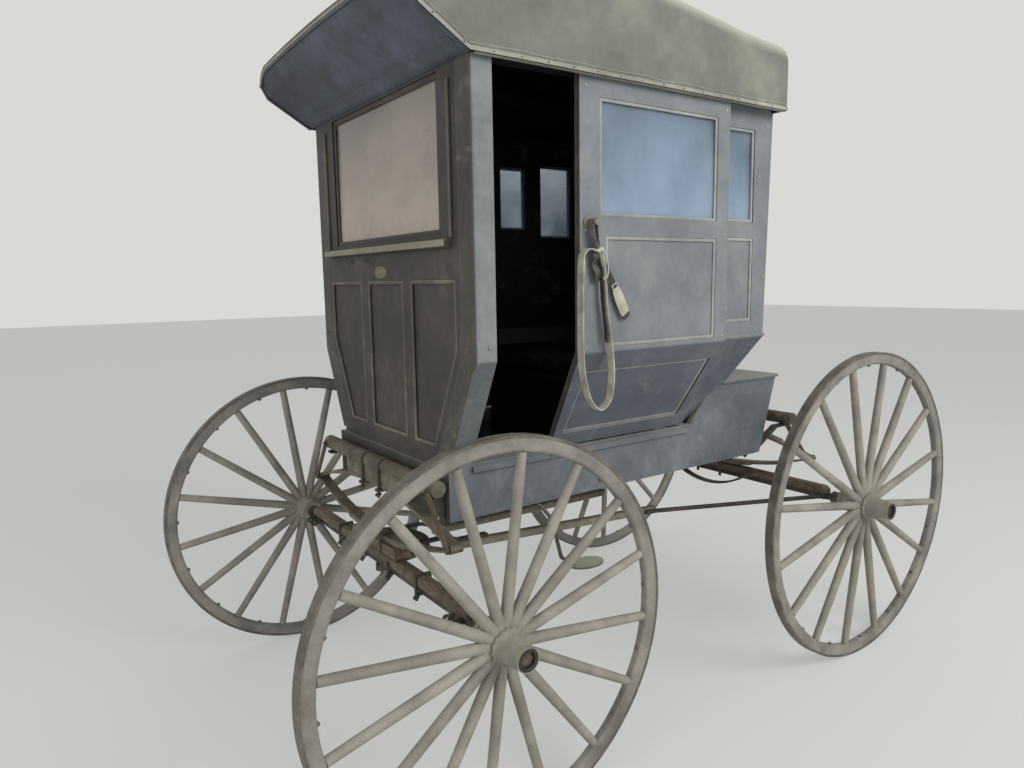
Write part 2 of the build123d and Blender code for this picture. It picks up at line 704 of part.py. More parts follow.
# clips round bed and iron of the front axle
NEAR_CLIP_Y = 100.0
FAR_CLIP_Y = 290.0
axle_clips = []
for y in (-FAR_CLIP_Y, -NEAR_CLIP_Y, NEAR_CLIP_Y, FAR_CLIP_Y):
    low = R_FRONT - IRON_H / 2
    gap = BED_W / 2 + SEAT_GAP
    top_z = circle_z if abs(y) > CIRCLE_R else circle_z - 14
    hoop = span(AXLE_F_X - gap - 5, AXLE_F_X + gap + 5, y - 6, y + 6, low - 8 - SEAT_GAP, low - SEAT_GAP)
    for side in (1, -1):
        inner = AXLE_F_X + side * gap
        hoop += span(inner, inner + side * 5, y - 6, y + 6, low - 22, top_z)
    if abs(y) > CIRCLE_R:
        top = top_z + SEAT_GAP
        hoop += span(AXLE_F_X - gap - 5, AXLE_F_X + gap + 5, y - 6, y + 6, top_z, top + 5)
        hoop -= span(AXLE_F_X - gap, AXLE_F_X + gap, y - 7, y + 7, top_z - 1, top)
    axle_clips.append(hoop)
write("front_axle_clips", axle_clips)

# couplings for the shafts at both ends of the front axle
COUPLING_Y = 520.0
COUPLING_X = 42.0
couplings = []
for side in (1, -1):
    y = side * COUPLING_Y
    low = R_FRONT - IRON_H / 2
    x_face = AXLE_F_X + IRON_W / 2 + SEAT_GAP
    plate = span(x_face, x_face + 6, y - 24, y + 24, low - 6, low + IRON_H - 1)
    for ear in (-1, 1):
        inner = y + ear * 16
        outer = y + ear * 24
        eye = Pos(AXLE_F_X + COUPLING_X, (inner + outer) / 2, R_FRONT - 4) * Rot(90, 0, 0) * Cylinder(12, 8)
        arm = span(x_face, AXLE_F_X + COUPLING_X, inner, outer, R_FRONT - 11, R_FRONT + 6)
        plate += eye + arm
    plate -= Pos(AXLE_F_X + COUPLING_X, y, R_FRONT - 4) * Rot(90, 0, 0) * Cylinder(5, 80)
    wrap = span(AXLE_F_X - IRON_W / 2 - 6, x_face + 6, y - 12, y + 12, low - 6, low - SEAT_GAP)
    back = AXLE_F_X - IRON_W / 2 - SEAT_GAP
    wrap += span(back - 6, back, y - 12, y + 12, low - 6, low + IRON_H - 1)
    couplings.append(plate + wrap)
write("shaft_couplings", couplings)

# reaches, which splay and drop a little towards the rear, and their irons:
# distance behind the front axle, out from the middle, and height
REACH_SHORT = 530.0
REACH_FRONT = (-245.0, 86.0, 546.0)
REACH_REAR = (REACH_SHORT - WHEELBASE, 150.0, 518.0)
REACH_W = 32.0
REACH_H = 28.0
IRON_BAR_T = 8.0
STAY_R = 8.5
STAY_LAP = 60.0
STAY_END_Y = HUB_Y - 164.0
BOW_HALF = 235.0
BOW_DROP = 88.0
BOW_W = 26.0


def on_reach(x, side):
    """Point on a reach's middle line at a distance behind the front axle."""
    share = (x - REACH_FRONT[0]) / (REACH_REAR[0] - REACH_FRONT[0])
    y = REACH_FRONT[1] + share * (REACH_REAR[1] - REACH_FRONT[1])
    return front_x(x), side * y, REACH_FRONT[2] + share * (REACH_REAR[2] - REACH_FRONT[2])


reaches = []
irons = []
plate_top = upper_z + CIRCLE_T + SEAT_GAP
for side in (1, -1):
    start, end = on_reach(REACH_FRONT[0], side), on_reach(REACH_REAR[0], side)
    reach = bar(start, end, REACH_W, REACH_H)
    long_edges = [e for e in reach.edges() if e.length > 100]
    reaches.append(fillet(long_edges, 9))
    room = bar(start, end, REACH_W + 2 * SEAT_GAP, REACH_H + 2 * SEAT_GAP)
    lap_end = on_reach(REACH_FRONT[0] - 110, side)
    line = (
        (front_x(-HEADBLOCK_W / 2 - SEAT_GAP), plate_top),
        (front_x(-CIRCLE_R - 28), plate_top),
        (start[0], start[2] + REACH_H / 2 + SEAT_GAP),
        (lap_end[0], lap_end[2] + REACH_H / 2 + SEAT_GAP),
    )
    iron = side_plate(ribbon(line, 0, IRON_BAR_T), start[1] - 13, start[1] + 13)
    irons.append(iron - room)
    beside = side * (REACH_W / 2 + STAY_R - 1)
    lap, foot = on_reach(REACH_REAR[0] + STAY_LAP, side), on_reach(REACH_REAR[0] + 8, side)
    lap = (lap[0], lap[1] + beside, lap[2])
    foot = (foot[0], foot[1] + beside, foot[2])
    axle_face = AXLE_R_X + IRON_W / 2 + SEAT_GAP
    stay = rod(foot, (axle_face + STAY_R, side * STAY_END_Y, R_REAR - 2), STAY_R)
    stay += rod(lap, foot, STAY_R)
    stay += Pos(*foot) * Sphere(STAY_R)
    y0, y1 = side * (STAY_END_Y - 18), side * (STAY_END_Y + 18)
    pad = span(axle_face, axle_face + 12, y0, y1, R_REAR - 10, R_REAR + 10)
    irons.append(stay + pad - room)
write("reaches", reaches)

# bow iron hung in front of the rear axle bed
bow_top = R_REAR + IRON_H / 2 + BED_H - 10
bow_r = (BOW_HALF**2 + BOW_DROP**2) / (2 * BOW_DROP)
bow_angle = math.asin(BOW_HALF / bow_r)
bow_lines = []
for r in (bow_r, bow_r - IRON_BAR_T):
    middle = bow_top - BOW_DROP + bow_r
    ends = [(side * r * math.sin(bow_angle), middle - r * math.cos(bow_angle)) for side in (-1, 1)]
    bow_lines.append(ThreePointArc(ends[0], (0, middle - r), ends[1]))
bow_ends = [Line(bow_lines[0] @ i, bow_lines[1] @ i) for i in (0, 1)]
bow_face = AXLE_R_X + BED_W / 2 + SEAT_GAP
irons.append(extrude(Plane.YZ.offset(bow_face) * make_face(bow_lines + bow_ends), amount=BOW_W))
write("reach_irons_and_stays", irons)

# iron steps under the door openings
STEP_FOOT_X = -340.0
STEP_FOOT_L = 64.0
STEP_FOOT_IN = 92.0
STEP_FOOT_OUT = 20.0
STEP_ROD_R = 6.0
STEP_X = -488.0
STEP_OUT = 66.0
STEP_DROP = 204.0
# middle line of the rod: distance behind the front axle, out from the box, down from its bottom
STEP_LINE = (
    (STEP_FOOT_X, -62.0, 6.0 + SEAT_GAP),
    (-355.0, 13.0, 10.0 + SEAT_GAP),
    (-372.0, 40.0, 45.0),
    (-400.0, 50.0, 170.0),
    (-440.0, 63.0, 203.0),
)
left_path = [(front_x(x), BOX_HALF + out, BOX_BOTTOM - drop) for x, out, drop in STEP_LINE]
step = rod(left_path[0], left_path[1], STEP_ROD_R)
for a, b in zip(left_path[1:], left_path[2:]):
    step += rod(a, b, STEP_ROD_R)
    step += Pos(*a) * Sphere(STEP_ROD_R)
pad = extrude(Ellipse(62, 40), amount=3, both=True)
step += Pos(front_x(STEP_X), BOX_HALF + STEP_OUT, BOX_BOTTOM - STEP_DROP) * pad
foot_top = BOX_BOTTOM - SEAT_GAP
foot_x0, foot_x1 = front_x(STEP_FOOT_X - STEP_FOOT_L / 2), front_x(STEP_FOOT_X + STEP_FOOT_L / 2)
foot = span(foot_x0, foot_x1, BOX_HALF - STEP_FOOT_IN, BOX_HALF - STEP_FOOT_OUT, foot_top - 6, foot_top)
step = (step + foot) - span(front_x(STEP_X), foot_x1, 0, BOX_HALF + STEP_OUT, foot_top, SILL_TOP)
write("side_steps", [step, mirrored(step)])

# body irons from the box up to the spring bars
IRON_Y = BOX_HALF - 36.0
body_irons = []
bar_seat_f = BAR_F_Z - BAR_R - SEAT_GAP
bar_seat_r = BAR_R_Z - BAR_R - SEAT_GAP
front_strip = (
    (front_x(BOX_FRONT - 250), BOX_BOTTOM - SEAT_GAP),
    (front_x(BOX_FRONT + SEAT_GAP), BOX_BOTTOM - SEAT_GAP),
    (front_x(BOX_FRONT + SEAT_GAP), bar_seat_f),
    (front_x(22), bar_seat_f),
)
rear_strip = (
    (front_x(BOX_REAR + 250), BOX_BOTTOM - SEAT_GAP),
    (front_x(BOX_REAR - SEAT_GAP), BOX_BOTTOM - SEAT_GAP),
    (AXLE_R_X + 60, bar_seat_r),
    (AXLE_R_X - 22, bar_seat_r),
)
for side in (1, -1):
    y = side * IRON_Y
    body_irons.append(side_plate(ribbon(front_strip, 0, IRON_BAR_T), y - 15, y + 15))
    body_irons.append(side_plate(ribbon(rear_strip, IRON_BAR_T, 0), y - 15, y + 15))
write("body_irons", body_irons)

# body box under the doors, running back into the boot
SEAT_FRONT = -610.0
RISER_T = 20.0
riser_x = front_x(SEAT_FRONT - 55)
inner_half = BOX_HALF - BOARD_T - SEAT_GAP
board_front = front_x(BOX_FRONT) - BOARD_T - SEAT_GAP
side_outline = (
    (board_front, BOX_BOTTOM),
    (front_x(BOX_REAR), BOX_BOTTOM),
    (front_x(BOOT_REAR_TOP), BOOT_TOP),
    (front_x(SLANT_TOP_X), BOOT_TOP),
    (front_x(SLANT_FOOT_X), SILL_TOP),
    (board_front, SILL_TOP),
)
board = side_plate(side_outline, BOX_HALF - BOARD_T, BOX_HALF)
# sill rail inside the board's top edge, which carries post and quarter panel
RAIL_H = 40.0
rail_in = inner_half_at(WALL_HALF, WALL_T, SILL_TOP) - 4
board += span(front_x(SLANT_FOOT_X), board_front, rail_in, BOX_HALF - BOARD_T, SILL_TOP - RAIL_H, SILL_TOP)
write("sill_boards", [board, mirrored(board)])
rear_line = ((front_x(BOX_REAR), BOX_BOTTOM), (front_x(BOOT_REAR_TOP), BOOT_TOP))
rear_board = side_plate(ribbon(rear_line, 0, BOARD_T), -inner_half, inner_half)
far, near = front_x(BOOT_REAR_TOP - 200), front_x(BOX_REAR + 150)
rear_board -= span(far, near, -BOX_HALF, BOX_HALF, BOOT_TOP, BOOT_TOP + 200)
rear_board -= span(far, near, -BOX_HALF, BOX_HALF, BOX_BOTTOM - 200, BOX_BOTTOM)
# boot floor and cab floor, with the seat riser's board between them
floors = []
for x0, x1 in (
    (front_x(BOX_REAR) + BOARD_T + 8, riser_x - RISER_T / 2 - SEAT_GAP),
    (riser_x + RISER_T / 2 + SEAT_GAP, board_front),
):
    floors.append(span(x0, x1, -inner_half, inner_half, BOX_BOTTOM, BOX_BOTTOM + BOARD_T))
write("floor_boards", floors)
front_board = span(
    front_x(BOX_FRONT) - BOARD_T, front_x(BOX_FRONT), -BOX_HALF, BOX_HALF, BOX_BOTTOM, FRONT_LOW - SEAT_GAP
)
write("end_boards", [front_board, rear_board])

lid_z = BOOT_TOP + SEAT_GAP
lid_front = front_x(REAR_FOOT_X) - 34
lid_half = BOX_HALF + LID_OVER
lid = span(front_x(BOOT_REAR_TOP) - LID_OVER, lid_front, -lid_half, lid_half, lid_z, lid_z + LID_T)
lid = chamfer(lid.faces().sort_by(Axis.Z)[-1].edges(), 4)
# strip in front of the lid, with the fixed knuckles of two butt hinges
PIVOT_X = lid_front + 3
PIVOT_Z = lid_z + LID_T + 2
HINGE_Y = 240.0
KNUCKLE_R = 5.0
KNUCKLE_L = 24.0
strip_rear = lid_front + 6
strip_front = front_x(REAR_FOOT_X) - 12
strip = span(strip_rear, strip_front, -lid_half, lid_half, lid_z, lid_z + LID_T)


def knuckle(y, length):
    return Pos(PIVOT_X, y, PIVOT_Z) * Rot(90, 0, 0) * Cylinder(KNUCKLE_R, length)


pin_r = 2.0
for y in (-HINGE_Y, HINGE_Y):
    room = Pos(PIVOT_X, y, PIVOT_Z) * Rot(90, 0, 0)
    lid -= room * Cylinder(KNUCKLE_R + 1.5, 3 * KNUCKLE_L + 4)
    strip -= room * Cylinder(KNUCKLE_R + 1.5, 3 * KNUCKLE_L + 4)
    plate_z = lid_z + LID_T
    fixed = span(PIVOT_X, strip_front, y - 1.5 * KNUCKLE_L, y + 1.5 * KNUCKLE_L, plate_z, plate_z + 2.5)
    fixed -= room * Cylinder(KNUCKLE_R + 0.5, KNUCKLE_L + 1)
    for ear in (-1, 1):
        fixed += knuckle(y + ear * KNUCKLE_L, KNUCKLE_L)
    fixed += room * Cylinder(pin_r, 3 * KNUCKLE_L)
    strip += fixed
    flap_half = KNUCKLE_L / 2 - 0.5
    flap = span(PIVOT_X - 40, PIVOT_X, y - flap_half, y + flap_half, plate_z, plate_z + 2.5)
    flap += knuckle(y, 2 * flap_half)
    flap -= room * Cylinder(pin_r + SEAT_GAP, 3 * KNUCKLE_L)
    lid += flap
write("boot_lid", lid)
write("boot_hinge_strip", strip)

# body shell
roof_shell, roof_void = roof()
write("roof_canopy", roof_shell)
write("visor_lining", visor_lining(roof_void))
sill_half = POST_HALF - POST_W - 32
sill_x = front_x(BODY_FRONT)
window_sill = span(sill_x - 4, sill_x + 22, -sill_half, sill_half, WINDOW_LOW - 36, WINDOW_LOW - 12)
window_sill = chamfer([e for e in window_sill.edges().filter_by(Axis.Y) if e.center().X > sill_x], 6)
write("front_panel", front_panel(roof_void) + window_sill)
left_post = posts()
write("front_posts", [left_post, mirrored(left_post)])
left_quarter = quarter()
write("left_quarter_panel", left_quarter)
write("right_quarter_panel", mirrored(left_quarter))
write("rear_panel", rear_panel())

cant = span(
    front_x(REAR_TOP_X) + 24,
    front_x(BODY_FRONT) - FRONT_T - SEAT_GAP,
    WALL_HALF - WALL_T - 20,
    ROOF_HALF - ROOF_SKIN - SEAT_GAP,
    WALL_TOP + SEAT_GAP,
    WALL_TOP + 30,
)
write("cant_rails", [cant, mirrored(cant)])

glass = []
front_glass_x = front_x(BODY_FRONT) - FRONT_T / 2
GLASS_T = 4.0


def pane_in(light, middle_y):
    """Pane in a light of a side wall, clear of its frame."""
    a, b, low, high = light
    x0, x1 = front_x(a) + SEAT_GAP, front_x(b) - SEAT_GAP
    return span(x0, x1, middle_y - GLASS_T / 2, middle_y + GLASS_T / 2, low + SEAT_GAP, high - SEAT_GAP)


pane_half = WINDOW_HALF - SEAT_GAP
glass.append(
    span(
        front_glass_x - GLASS_T / 2,
        front_glass_x + GLASS_T / 2,
        -pane_half,
        pane_half,
        WINDOW_LOW + SEAT_GAP,
        WINDOW_HIGH - SEAT_GAP,
    )
)
for light in QUARTER_LIGHTS:
    pane = pane_in(light, WALL_HALF - WALL_T / 2)
    glass += [pane, mirrored(pane)]
slant = (REAR_BREAK_X - REAR_TOP_X) / (WALL_TOP - BREAK_Z)


def rear_mid(z):
    return front_x(REAR_TOP_X) + (WALL_TOP - z) * slant + REAR_T / 2


rear_half, rear_low, rear_high = REAR_LIGHT
pane_line = [(rear_mid(z), z) for z in (rear_high - SEAT_GAP, rear_low + SEAT_GAP)]
pane_half = rear_half - SEAT_GAP
glass.append(side_plate(ribbon(pane_line, GLASS_T / 2, GLASS_T / 2), -pane_half, pane_half))
write("fixed_glass", glass)

# doors
left_door = door()
door_front = front_x(DOOR_OPEN_X)
post_rear = front_x(BODY_FRONT) - POST_DEPTH
DOOR_TRAVEL = post_rear - door_front - DOOR_STOP_GAP
shut = Pos(DOOR_TRAVEL, 0, 0)
write("left_door", left_door)
write("right_door", shut * mirrored(left_door))
pane = pane_in(DOOR_LIGHT, POST_HALF - DOOR_T / 2)
write("left_door_glass", pane)
write("right_door_glass", shut * mirrored(pane))
# moulding outside the sill, which turns up behind the door
TRACK_H = 16.0
TRACK_W = 10.0
track_z = SILL_TOP - 17
track_line = (
    (post_rear, track_z),
    (front_x(SLANT_FOOT_X + 25), track_z),
    (front_x(SLANT_FOOT_X - 5), track_z + 9),
    (front_x(SLANT_FOOT_X - 27), track_z + 26),
)
track_in = BOX_HALF + SEAT_GAP
track = side_plate(ribbon(track_line, TRACK_H / 2, TRACK_H / 2), track_in, track_in + TRACK_W)
write("door_tracks", [track, mirrored(track)])

# hook and pull strap on the left door's front stile
HOOK_X = -433.0
HOOK_Z = 1581.0
PEG_R = 6.0
hook_face = POST_HALF + SEAT_GAP
hook = Pos(front_x(HOOK_X), hook_face + 2, HOOK_Z) * Rot(90, 0, 0) * Cylinder(19, 4)
hook += Pos(front_x(HOOK_X), hook_face + 21, HOOK_Z) * Rot(90, 0, 0) * Cylinder(PEG_R, 38)
hook += Pos(front_x(HOOK_X), hook_face + 40, HOOK_Z) * Rot(90, 0, 0) * Cylinder(11, 6)
write("left_door_hook", fillet(hook.edges().group_by(Axis.Y)[-1], 2))

STRAP_W = 28.0
STRAP_T = 3.0
strap_in = hook_face + 5.5
# from the peg round the hanging loop and back, then the free buckled end
STRAP_LOOP = (
    (-424.0, 1581.0),
    (-424.0, 1535.0),
    (-409.0, 1500.0),
    (-393.0, 1478.0),
    (-388.0, 1430.0),
    (-388.0, 1224.0),
    (-396.0, 1150.0),
    (-415.0, 1085.0),
    (-445.0, 1049.0),
    (-475.0, 1052.0),
    (-498.0, 1084.0),
    (-505.0, 1135.0),
    (-500.0, 1216.0),
    (-476.0, 1362.0),
    (-470.0, 1450.0),
    (-455.0, 1500.0),
    (-442.0, 1535.0),
    (-442.0, 1581.0),
)
STRAP_TAIL = ((-455.0, 1500.0), (-482.0, 1476.0), (-528.0, 1407.0), (-577.0, 1306.0))
strap_room = Pos(front_x(HOOK_X), strap_in + STRAP_W / 2, HOOK_Z) * Rot(90, 0, 0)
strap = strap_room * Cylinder(9 + STRAP_T / 2, STRAP_W)
for route in (STRAP_LOOP, STRAP_TAIL):
    outline = ribbon([(front_x(x), z) for x, z in route], STRAP_T / 2, STRAP_T / 2)
    strap += side_plate(outline, strap_in, strap_in + STRAP_W)
strap -= strap_room * Cylinder(PEG_R + SEAT_GAP, STRAP_W + 2)
write("left_door_strap", strap)

# seat


def rear_inner(z):
    """X of the rear wall's inner face at a height."""
    low, high = (REAR_FOOT_X, BOOT_TOP), (REAR_BREAK_X, BREAK_Z)
    if z > BREAK_Z:
        low, high = high, (REAR_TOP_X, WALL_TOP)
    share = (z - low[1]) / (high[1] - low[1])
    lean = math.hypot(high[0] - low[0], high[1] - low[1]) / (high[1] - low[1])
    return front_x(low[0] + share * (high[0] - low[0])) + REAR_T * lean


SEAT_Z = 1165.0
CUSHION_T = 78.0
seat_front = front_x(SEAT_FRONT)
riser_top = SEAT_Z - CUSHION_T - SEAT_GAP
riser_low = riser_top - RISER_T
seat_half = inner_half_at(WALL_HALF, WALL_T, riser_low) - 4
seat_rear = rear_inner(riser_low) + 3
riser = span(seat_rear, seat_front - 25, -seat_half, seat_half, riser_low, riser_top)
riser_half = rail_in - SEAT_GAP
riser_x0, riser_x1 = riser_x - RISER_T / 2, riser_x + RISER_T / 2
riser += span(riser_x0, riser_x1, -riser_half, riser_half, BOX_BOTTOM, riser_low + 2)
write("seat_riser", riser)
cushion = span(seat_rear + 2, seat_front, -seat_half, seat_half, riser_top + SEAT_GAP, SEAT_Z)
write("seat_cushion", fillet(cushion.edges(), 16))
BACK_T = 85.0
BACK_TOP = 1560.0
back_low = SEAT_Z + SEAT_GAP
back_outline = (
    (rear_inner(back_low) + BACK_T, back_low),
    (rear_inner(BACK_TOP) + BACK_T, BACK_TOP),
    (rear_inner(BACK_TOP) - REAR_T, BACK_TOP),
    (rear_inner(BACK_TOP) - REAR_T, back_low),
)
back = side_plate(back_outline, -seat_half, seat_half)
back -= side_plate(ribbon(REAR_LINE, REAR_T + SEAT_GAP, BACK_T), -WALL_HALF, WALL_HALF)
write("seat_back", fillet(back.faces().sort_by(Axis.X)[-1].edges(), 16))
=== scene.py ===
"""Looks for an enclosed doctor's buggy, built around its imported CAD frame."""

import math

import bpy
from mathutils import Matrix, Vector


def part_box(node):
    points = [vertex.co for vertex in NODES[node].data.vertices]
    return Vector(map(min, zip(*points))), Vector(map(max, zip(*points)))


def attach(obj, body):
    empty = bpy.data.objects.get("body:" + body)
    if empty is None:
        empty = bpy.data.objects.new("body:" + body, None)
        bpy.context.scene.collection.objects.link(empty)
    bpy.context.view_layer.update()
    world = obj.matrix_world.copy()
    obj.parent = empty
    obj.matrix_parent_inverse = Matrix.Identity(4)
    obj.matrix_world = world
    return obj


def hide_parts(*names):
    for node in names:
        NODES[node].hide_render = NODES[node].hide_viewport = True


bl_info = {
    "name": "Doctor's Buggy",
    "version": (1, 0, 0),
    "blender": (4, 5, 0),
    "location": "View3D > Sidebar > Buggy",
    "description": "Dresses the frame of an enclosed doctor's buggy",
    "category": "Object",
}

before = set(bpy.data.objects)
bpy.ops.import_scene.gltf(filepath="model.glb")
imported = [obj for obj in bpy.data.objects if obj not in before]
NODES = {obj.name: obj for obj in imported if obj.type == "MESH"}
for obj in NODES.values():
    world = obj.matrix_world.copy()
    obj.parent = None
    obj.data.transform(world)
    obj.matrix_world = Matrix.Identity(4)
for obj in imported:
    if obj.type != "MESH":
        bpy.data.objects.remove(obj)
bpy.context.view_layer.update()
MM = 0.001


# Places on the frame


def middle_x(node):
    low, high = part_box(node)
    return low.x / 2 + high.x / 2


FRONT_X = middle_x("kingpin")
REAR_X = middle_x("rear_axle_bed")


def from_axle(mm):
    """X in metres of a distance in millimetres measured forward from the front axle."""
    return FRONT_X + mm * MM


def spot(x, y, z):
    """Point in metres from millimetres: forward from the front axle, to the left, and up."""
    return Vector((from_axle(x), y * MM, z * MM))


CAB_MIDDLE_X = from_axle(-650)
# heights in millimetres: the side boards lean in below the break, and dust lies on the glass by height
BREAK_Z = 1210.0
GLASS_FOOT, GLASS_TOP = 1600.0, 1930.0
# the naves' middle, in metres from the buggy's middle, and how far in millimetres their noses reach from it
HUB_Y = 0.712
NAVE_OUT = 104.0
UP, DOWN, AHEAD = (0, 0, 1), (0, 0, -1), (1, 0, 0)


# Colours and materials


def linear(code):
    """Linear colour of an sRGB hex value."""
    parts = [int(code[i : i + 2], 16) / 255 for i in (0, 2, 4)]
    return (*(c / 12.92 if c <= 0.04045 else ((c + 0.055) / 1.055) ** 2.4 for c in parts), 1.0)


def stops(coat, places=(0.36, 0.5, 0.64)):
    """Ramp stops for the dark, middle and pale tone of one coat."""
    return [(place, linear(code)) for place, code in zip(places, coat.split())]


def feed(tree, node, inputs):
    """Sets a node's inputs, or links them where the value is a socket or another node."""
    for key, value in inputs.items():
        if isinstance(value, bpy.types.Node):
            value = next(socket for socket in value.outputs if socket.enabled)
        if isinstance(value, bpy.types.NodeSocket):
            tree.links.new(value, node.inputs[key])
        else:
            node.inputs[key].default_value = value


def add(tree, kind, inputs=None, ramp=None, **settings):
    """Adds a shader node with its settings, its inputs and the stops of its colour ramp."""
    node = tree.nodes.new("ShaderNode" + kind)
    for key, value in settings.items():
        setattr(node, key, value)
    feed(tree, node, inputs or {})
    if ramp:
        elements = node.color_ramp.elements
        while len(elements) < len(ramp):
            elements.new(0.5)
        for element, (place, colour) in zip(elements, ramp):
            element.position = place
            element.color = colour
    return node


def blank_material(name):
    """A material whose tree is still empty, and the tree."""
    material = bpy.data.materials.new(name)
    material.use_nodes = True
    material.node_tree.nodes.clear()
    return material, material.node_tree


def new_material(name, roughness, metallic=0.0):
    """A material with its shader and Object coordinates, ready for its pattern."""
    material, tree = blank_material(name)
    shader = add(tree, "BsdfPrincipled", {"Roughness": roughness, "Metallic": metallic})
    add(tree, "OutputMaterial", {"Surface": shader})
    place = add(tree, "TexCoord").outputs["Object"]
    return material, tree, shader, place


def facing(tree, normal, direction, least, full):
    """A mask that rises from 0 to 1 between two measures of how squarely a face looks one way."""
    square = add(tree, "VectorMath", {0: normal, 1: direction}, operation="DOT_PRODUCT")
    return add(tree, "MapRange", {"Value": square, "From Min": least, "From Max": full})


def facing_inside(tree, normal, place):
    """1 on faces that look in to the middle of the cab, where the near-black painted shade is laid."""
    offset = add(tree, "VectorMath", {0: place, 1: (CAB_MIDDLE_X, 0, 0)}, operation="SUBTRACT")
    level = add(tree, "VectorMath", {0: offset, 1: (1, 1, 0)}, operation="MULTIPLY")
    return facing(tree, normal, level, -0.04, -0.12)


def aged_paint(name, coat, dust="9a988c", rubbed=0.5, front=None, inside=None, low=None, scuffs=0.3):
    """Old coach paint on smooth boards: faded in clouds, faintly streaked, dusty on ledges, with painted
    shade on the faces that look forward, in or down, and pale edges that are wear and painted highlight.
    """
    material, tree, shader, place = new_material(name, roughness=0.62)
    # brush streaks about 8 mm wide that run up and down the boards
    brushed = add(tree, "Mapping", {"Vector": place, "Scale": (3.0, 3.0, 0.6)})
    streak = add(tree, "TexNoise", {"Vector": brushed, "Scale": 40.0, "Detail": 6.0, "Roughness": 0.65})
    # faded clouds a hand's width across, and stains half a board across
    cloud = add(tree, "TexNoise", {"Vector": place, "Scale": 9.0, "Detail": 6.0, "Roughness": 0.68})
    stain = add(tree, "TexNoise", {"Vector": place, "Scale": 2.6, "Detail": 4.0, "Roughness": 0.6})
    clouds = add(tree, "Mix", {"Factor": 0.5, "A": cloud, "B": stain}, data_type="FLOAT")
    fading = add(tree, "Mix", {"Factor": 0.13, "A": clouds, "B": streak}, data_type="FLOAT")
    tone = add(tree, "ValToRGB", {"Fac": fading}, ramp=stops(coat))
    normal = add(tree, "NewGeometry").outputs["Normal"]
    coats = []
    if low:
        # the boards that lean in below the break are painted darker: painted shade, as they face partly down
        height = add(tree, "SeparateXYZ", {"Vector": place}).outputs["Z"]
        under = {"Value": height, "From Min": (BREAK_Z + 5) * MM, "From Max": (BREAK_Z - 5) * MM}
        coats.append((add(tree, "MapRange", under), low))
    # faces that look forward take a darker, browner coat: painted shade of the front, which stands out of
    # the light, over a browner tone of the paint
    if front:
        coats.append((facing(tree, normal, AHEAD, 0.55, 0.75), front))
    # faces that look in to the cab take a near-black coat: painted shade of the closed cab
    if inside:
        coats.append((facing_inside(tree, normal, place), inside))
    for share, other in coats:
        shade = add(tree, "ValToRGB", {"Fac": fading}, ramp=stops(other))
        tone = add(tree, "Mix", {"Factor": share, "A": tone, "B": shade}, data_type="RGBA")
    # pale scuffs and dried splashes, 20 to 60 mm across
    splash = {"Vector": place, "Scale": 11.0, "Detail": 8.0, "Roughness": 0.7, "Distortion": 0.6}
    splash = add(tree, "TexNoise", splash)
    scuff = add(tree, "MapRange", {"Value": splash, "From Min": 0.56, "From Max": 0.7, "To Max": scuffs})
    tone = add(tree, "Mix", {"Factor": scuff, "A": tone, "B": linear(dust)}, data_type="RGBA")
    # dust lies where the surface faces up
    ledge = facing(tree, normal, UP, 0.15, 0.9)
    dusty = add(tree, "Math", {0: ledge, 1: fading}, operation="MULTIPLY", use_clamp=True)
    tone = add(tree, "Mix", {"Factor": dusty, "A": tone, "B": linear(dust)}, data_type="RGBA")
    # corners rubbed pale, which is wear and also a painted highlight on the rounded edges
    rounded = add(tree, "Bevel", {"Radius": 3.5 * MM}, samples=4)
    edge = add(tree, "VectorMath", {0: rounded, 1: normal}, operation="DOT_PRODUCT")
    rub = add(tree, "MapRange", {"Value": edge, "From Min": 0.995, "From Max": 0.9})
    rub = add(tree, "Math", {0: rub, 1: rubbed}, operation="MULTIPLY", use_clamp=True)
    pale = linear(coat.split()[2])
    tone = add(tree, "Mix", {"Factor": rub, "A": tone, "B": pale}, data_type="RGBA")
    rough = add(tree, "MapRange", {"Value": fading, "To Min": 0.5, "To Max": 0.78})
    bump = add(tree, "Bump", {"Strength": 0.12, "Distance": 1.2 * MM, "Height": fading})
    feed(tree, shader, {"Base Color": tone, "Roughness": rough, "Normal": bump})
    return material


def aged_wood(name, coat, grain=(1.0, 6.0, 6.0), share=0.5, end_beyond=None):
    """Weathered hardwood with the last of its paint: open grain, dry and dusty."""
    material, tree, shader, place = new_material(name, roughness=0.75)
    along = add(tree, "Mapping", {"Vector": place, "Scale": grain})
    # grain lines drawn 4 to 7 mm apart, coarser than real, so that they show, and patches a hand wide
    fibre = add(tree, "TexNoise", {"Vector": along, "Scale": 45.0, "Detail": 8.0, "Roughness": 0.7})
    patch = add(tree, "TexNoise", {"Vector": place, "Scale": 9.0, "Detail": 4.0, "Roughness": 0.6})
    figure = add(tree, "Mix", {"Factor": share, "A": patch, "B": fibre}, data_type="FLOAT")
    tone = add(tree, "ValToRGB", {"Fac": figure}, ramp=stops(coat))
    if end_beyond:
        # bare end grain of the nave's nose, black with axle grease
        across = add(tree, "SeparateXYZ", {"Vector": place}).outputs["Y"]
        out = add(tree, "Math", {0: across}, operation="ABSOLUTE")
        end = {"Value": out, "From Min": end_beyond - 0.6 * MM, "From Max": end_beyond - 0.2 * MM}
        end = add(tree, "MapRange", end)
        tone = add(tree, "Mix", {"Factor": end, "A": tone, "B": linear("2b2826")}, data_type="RGBA")
    bump = add(tree, "Bump", {"Strength": 0.3, "Distance": 0.6 * MM, "Height": fibre})
    feed(tree, shader, {"Base Color": tone, "Normal": bump})
    return material


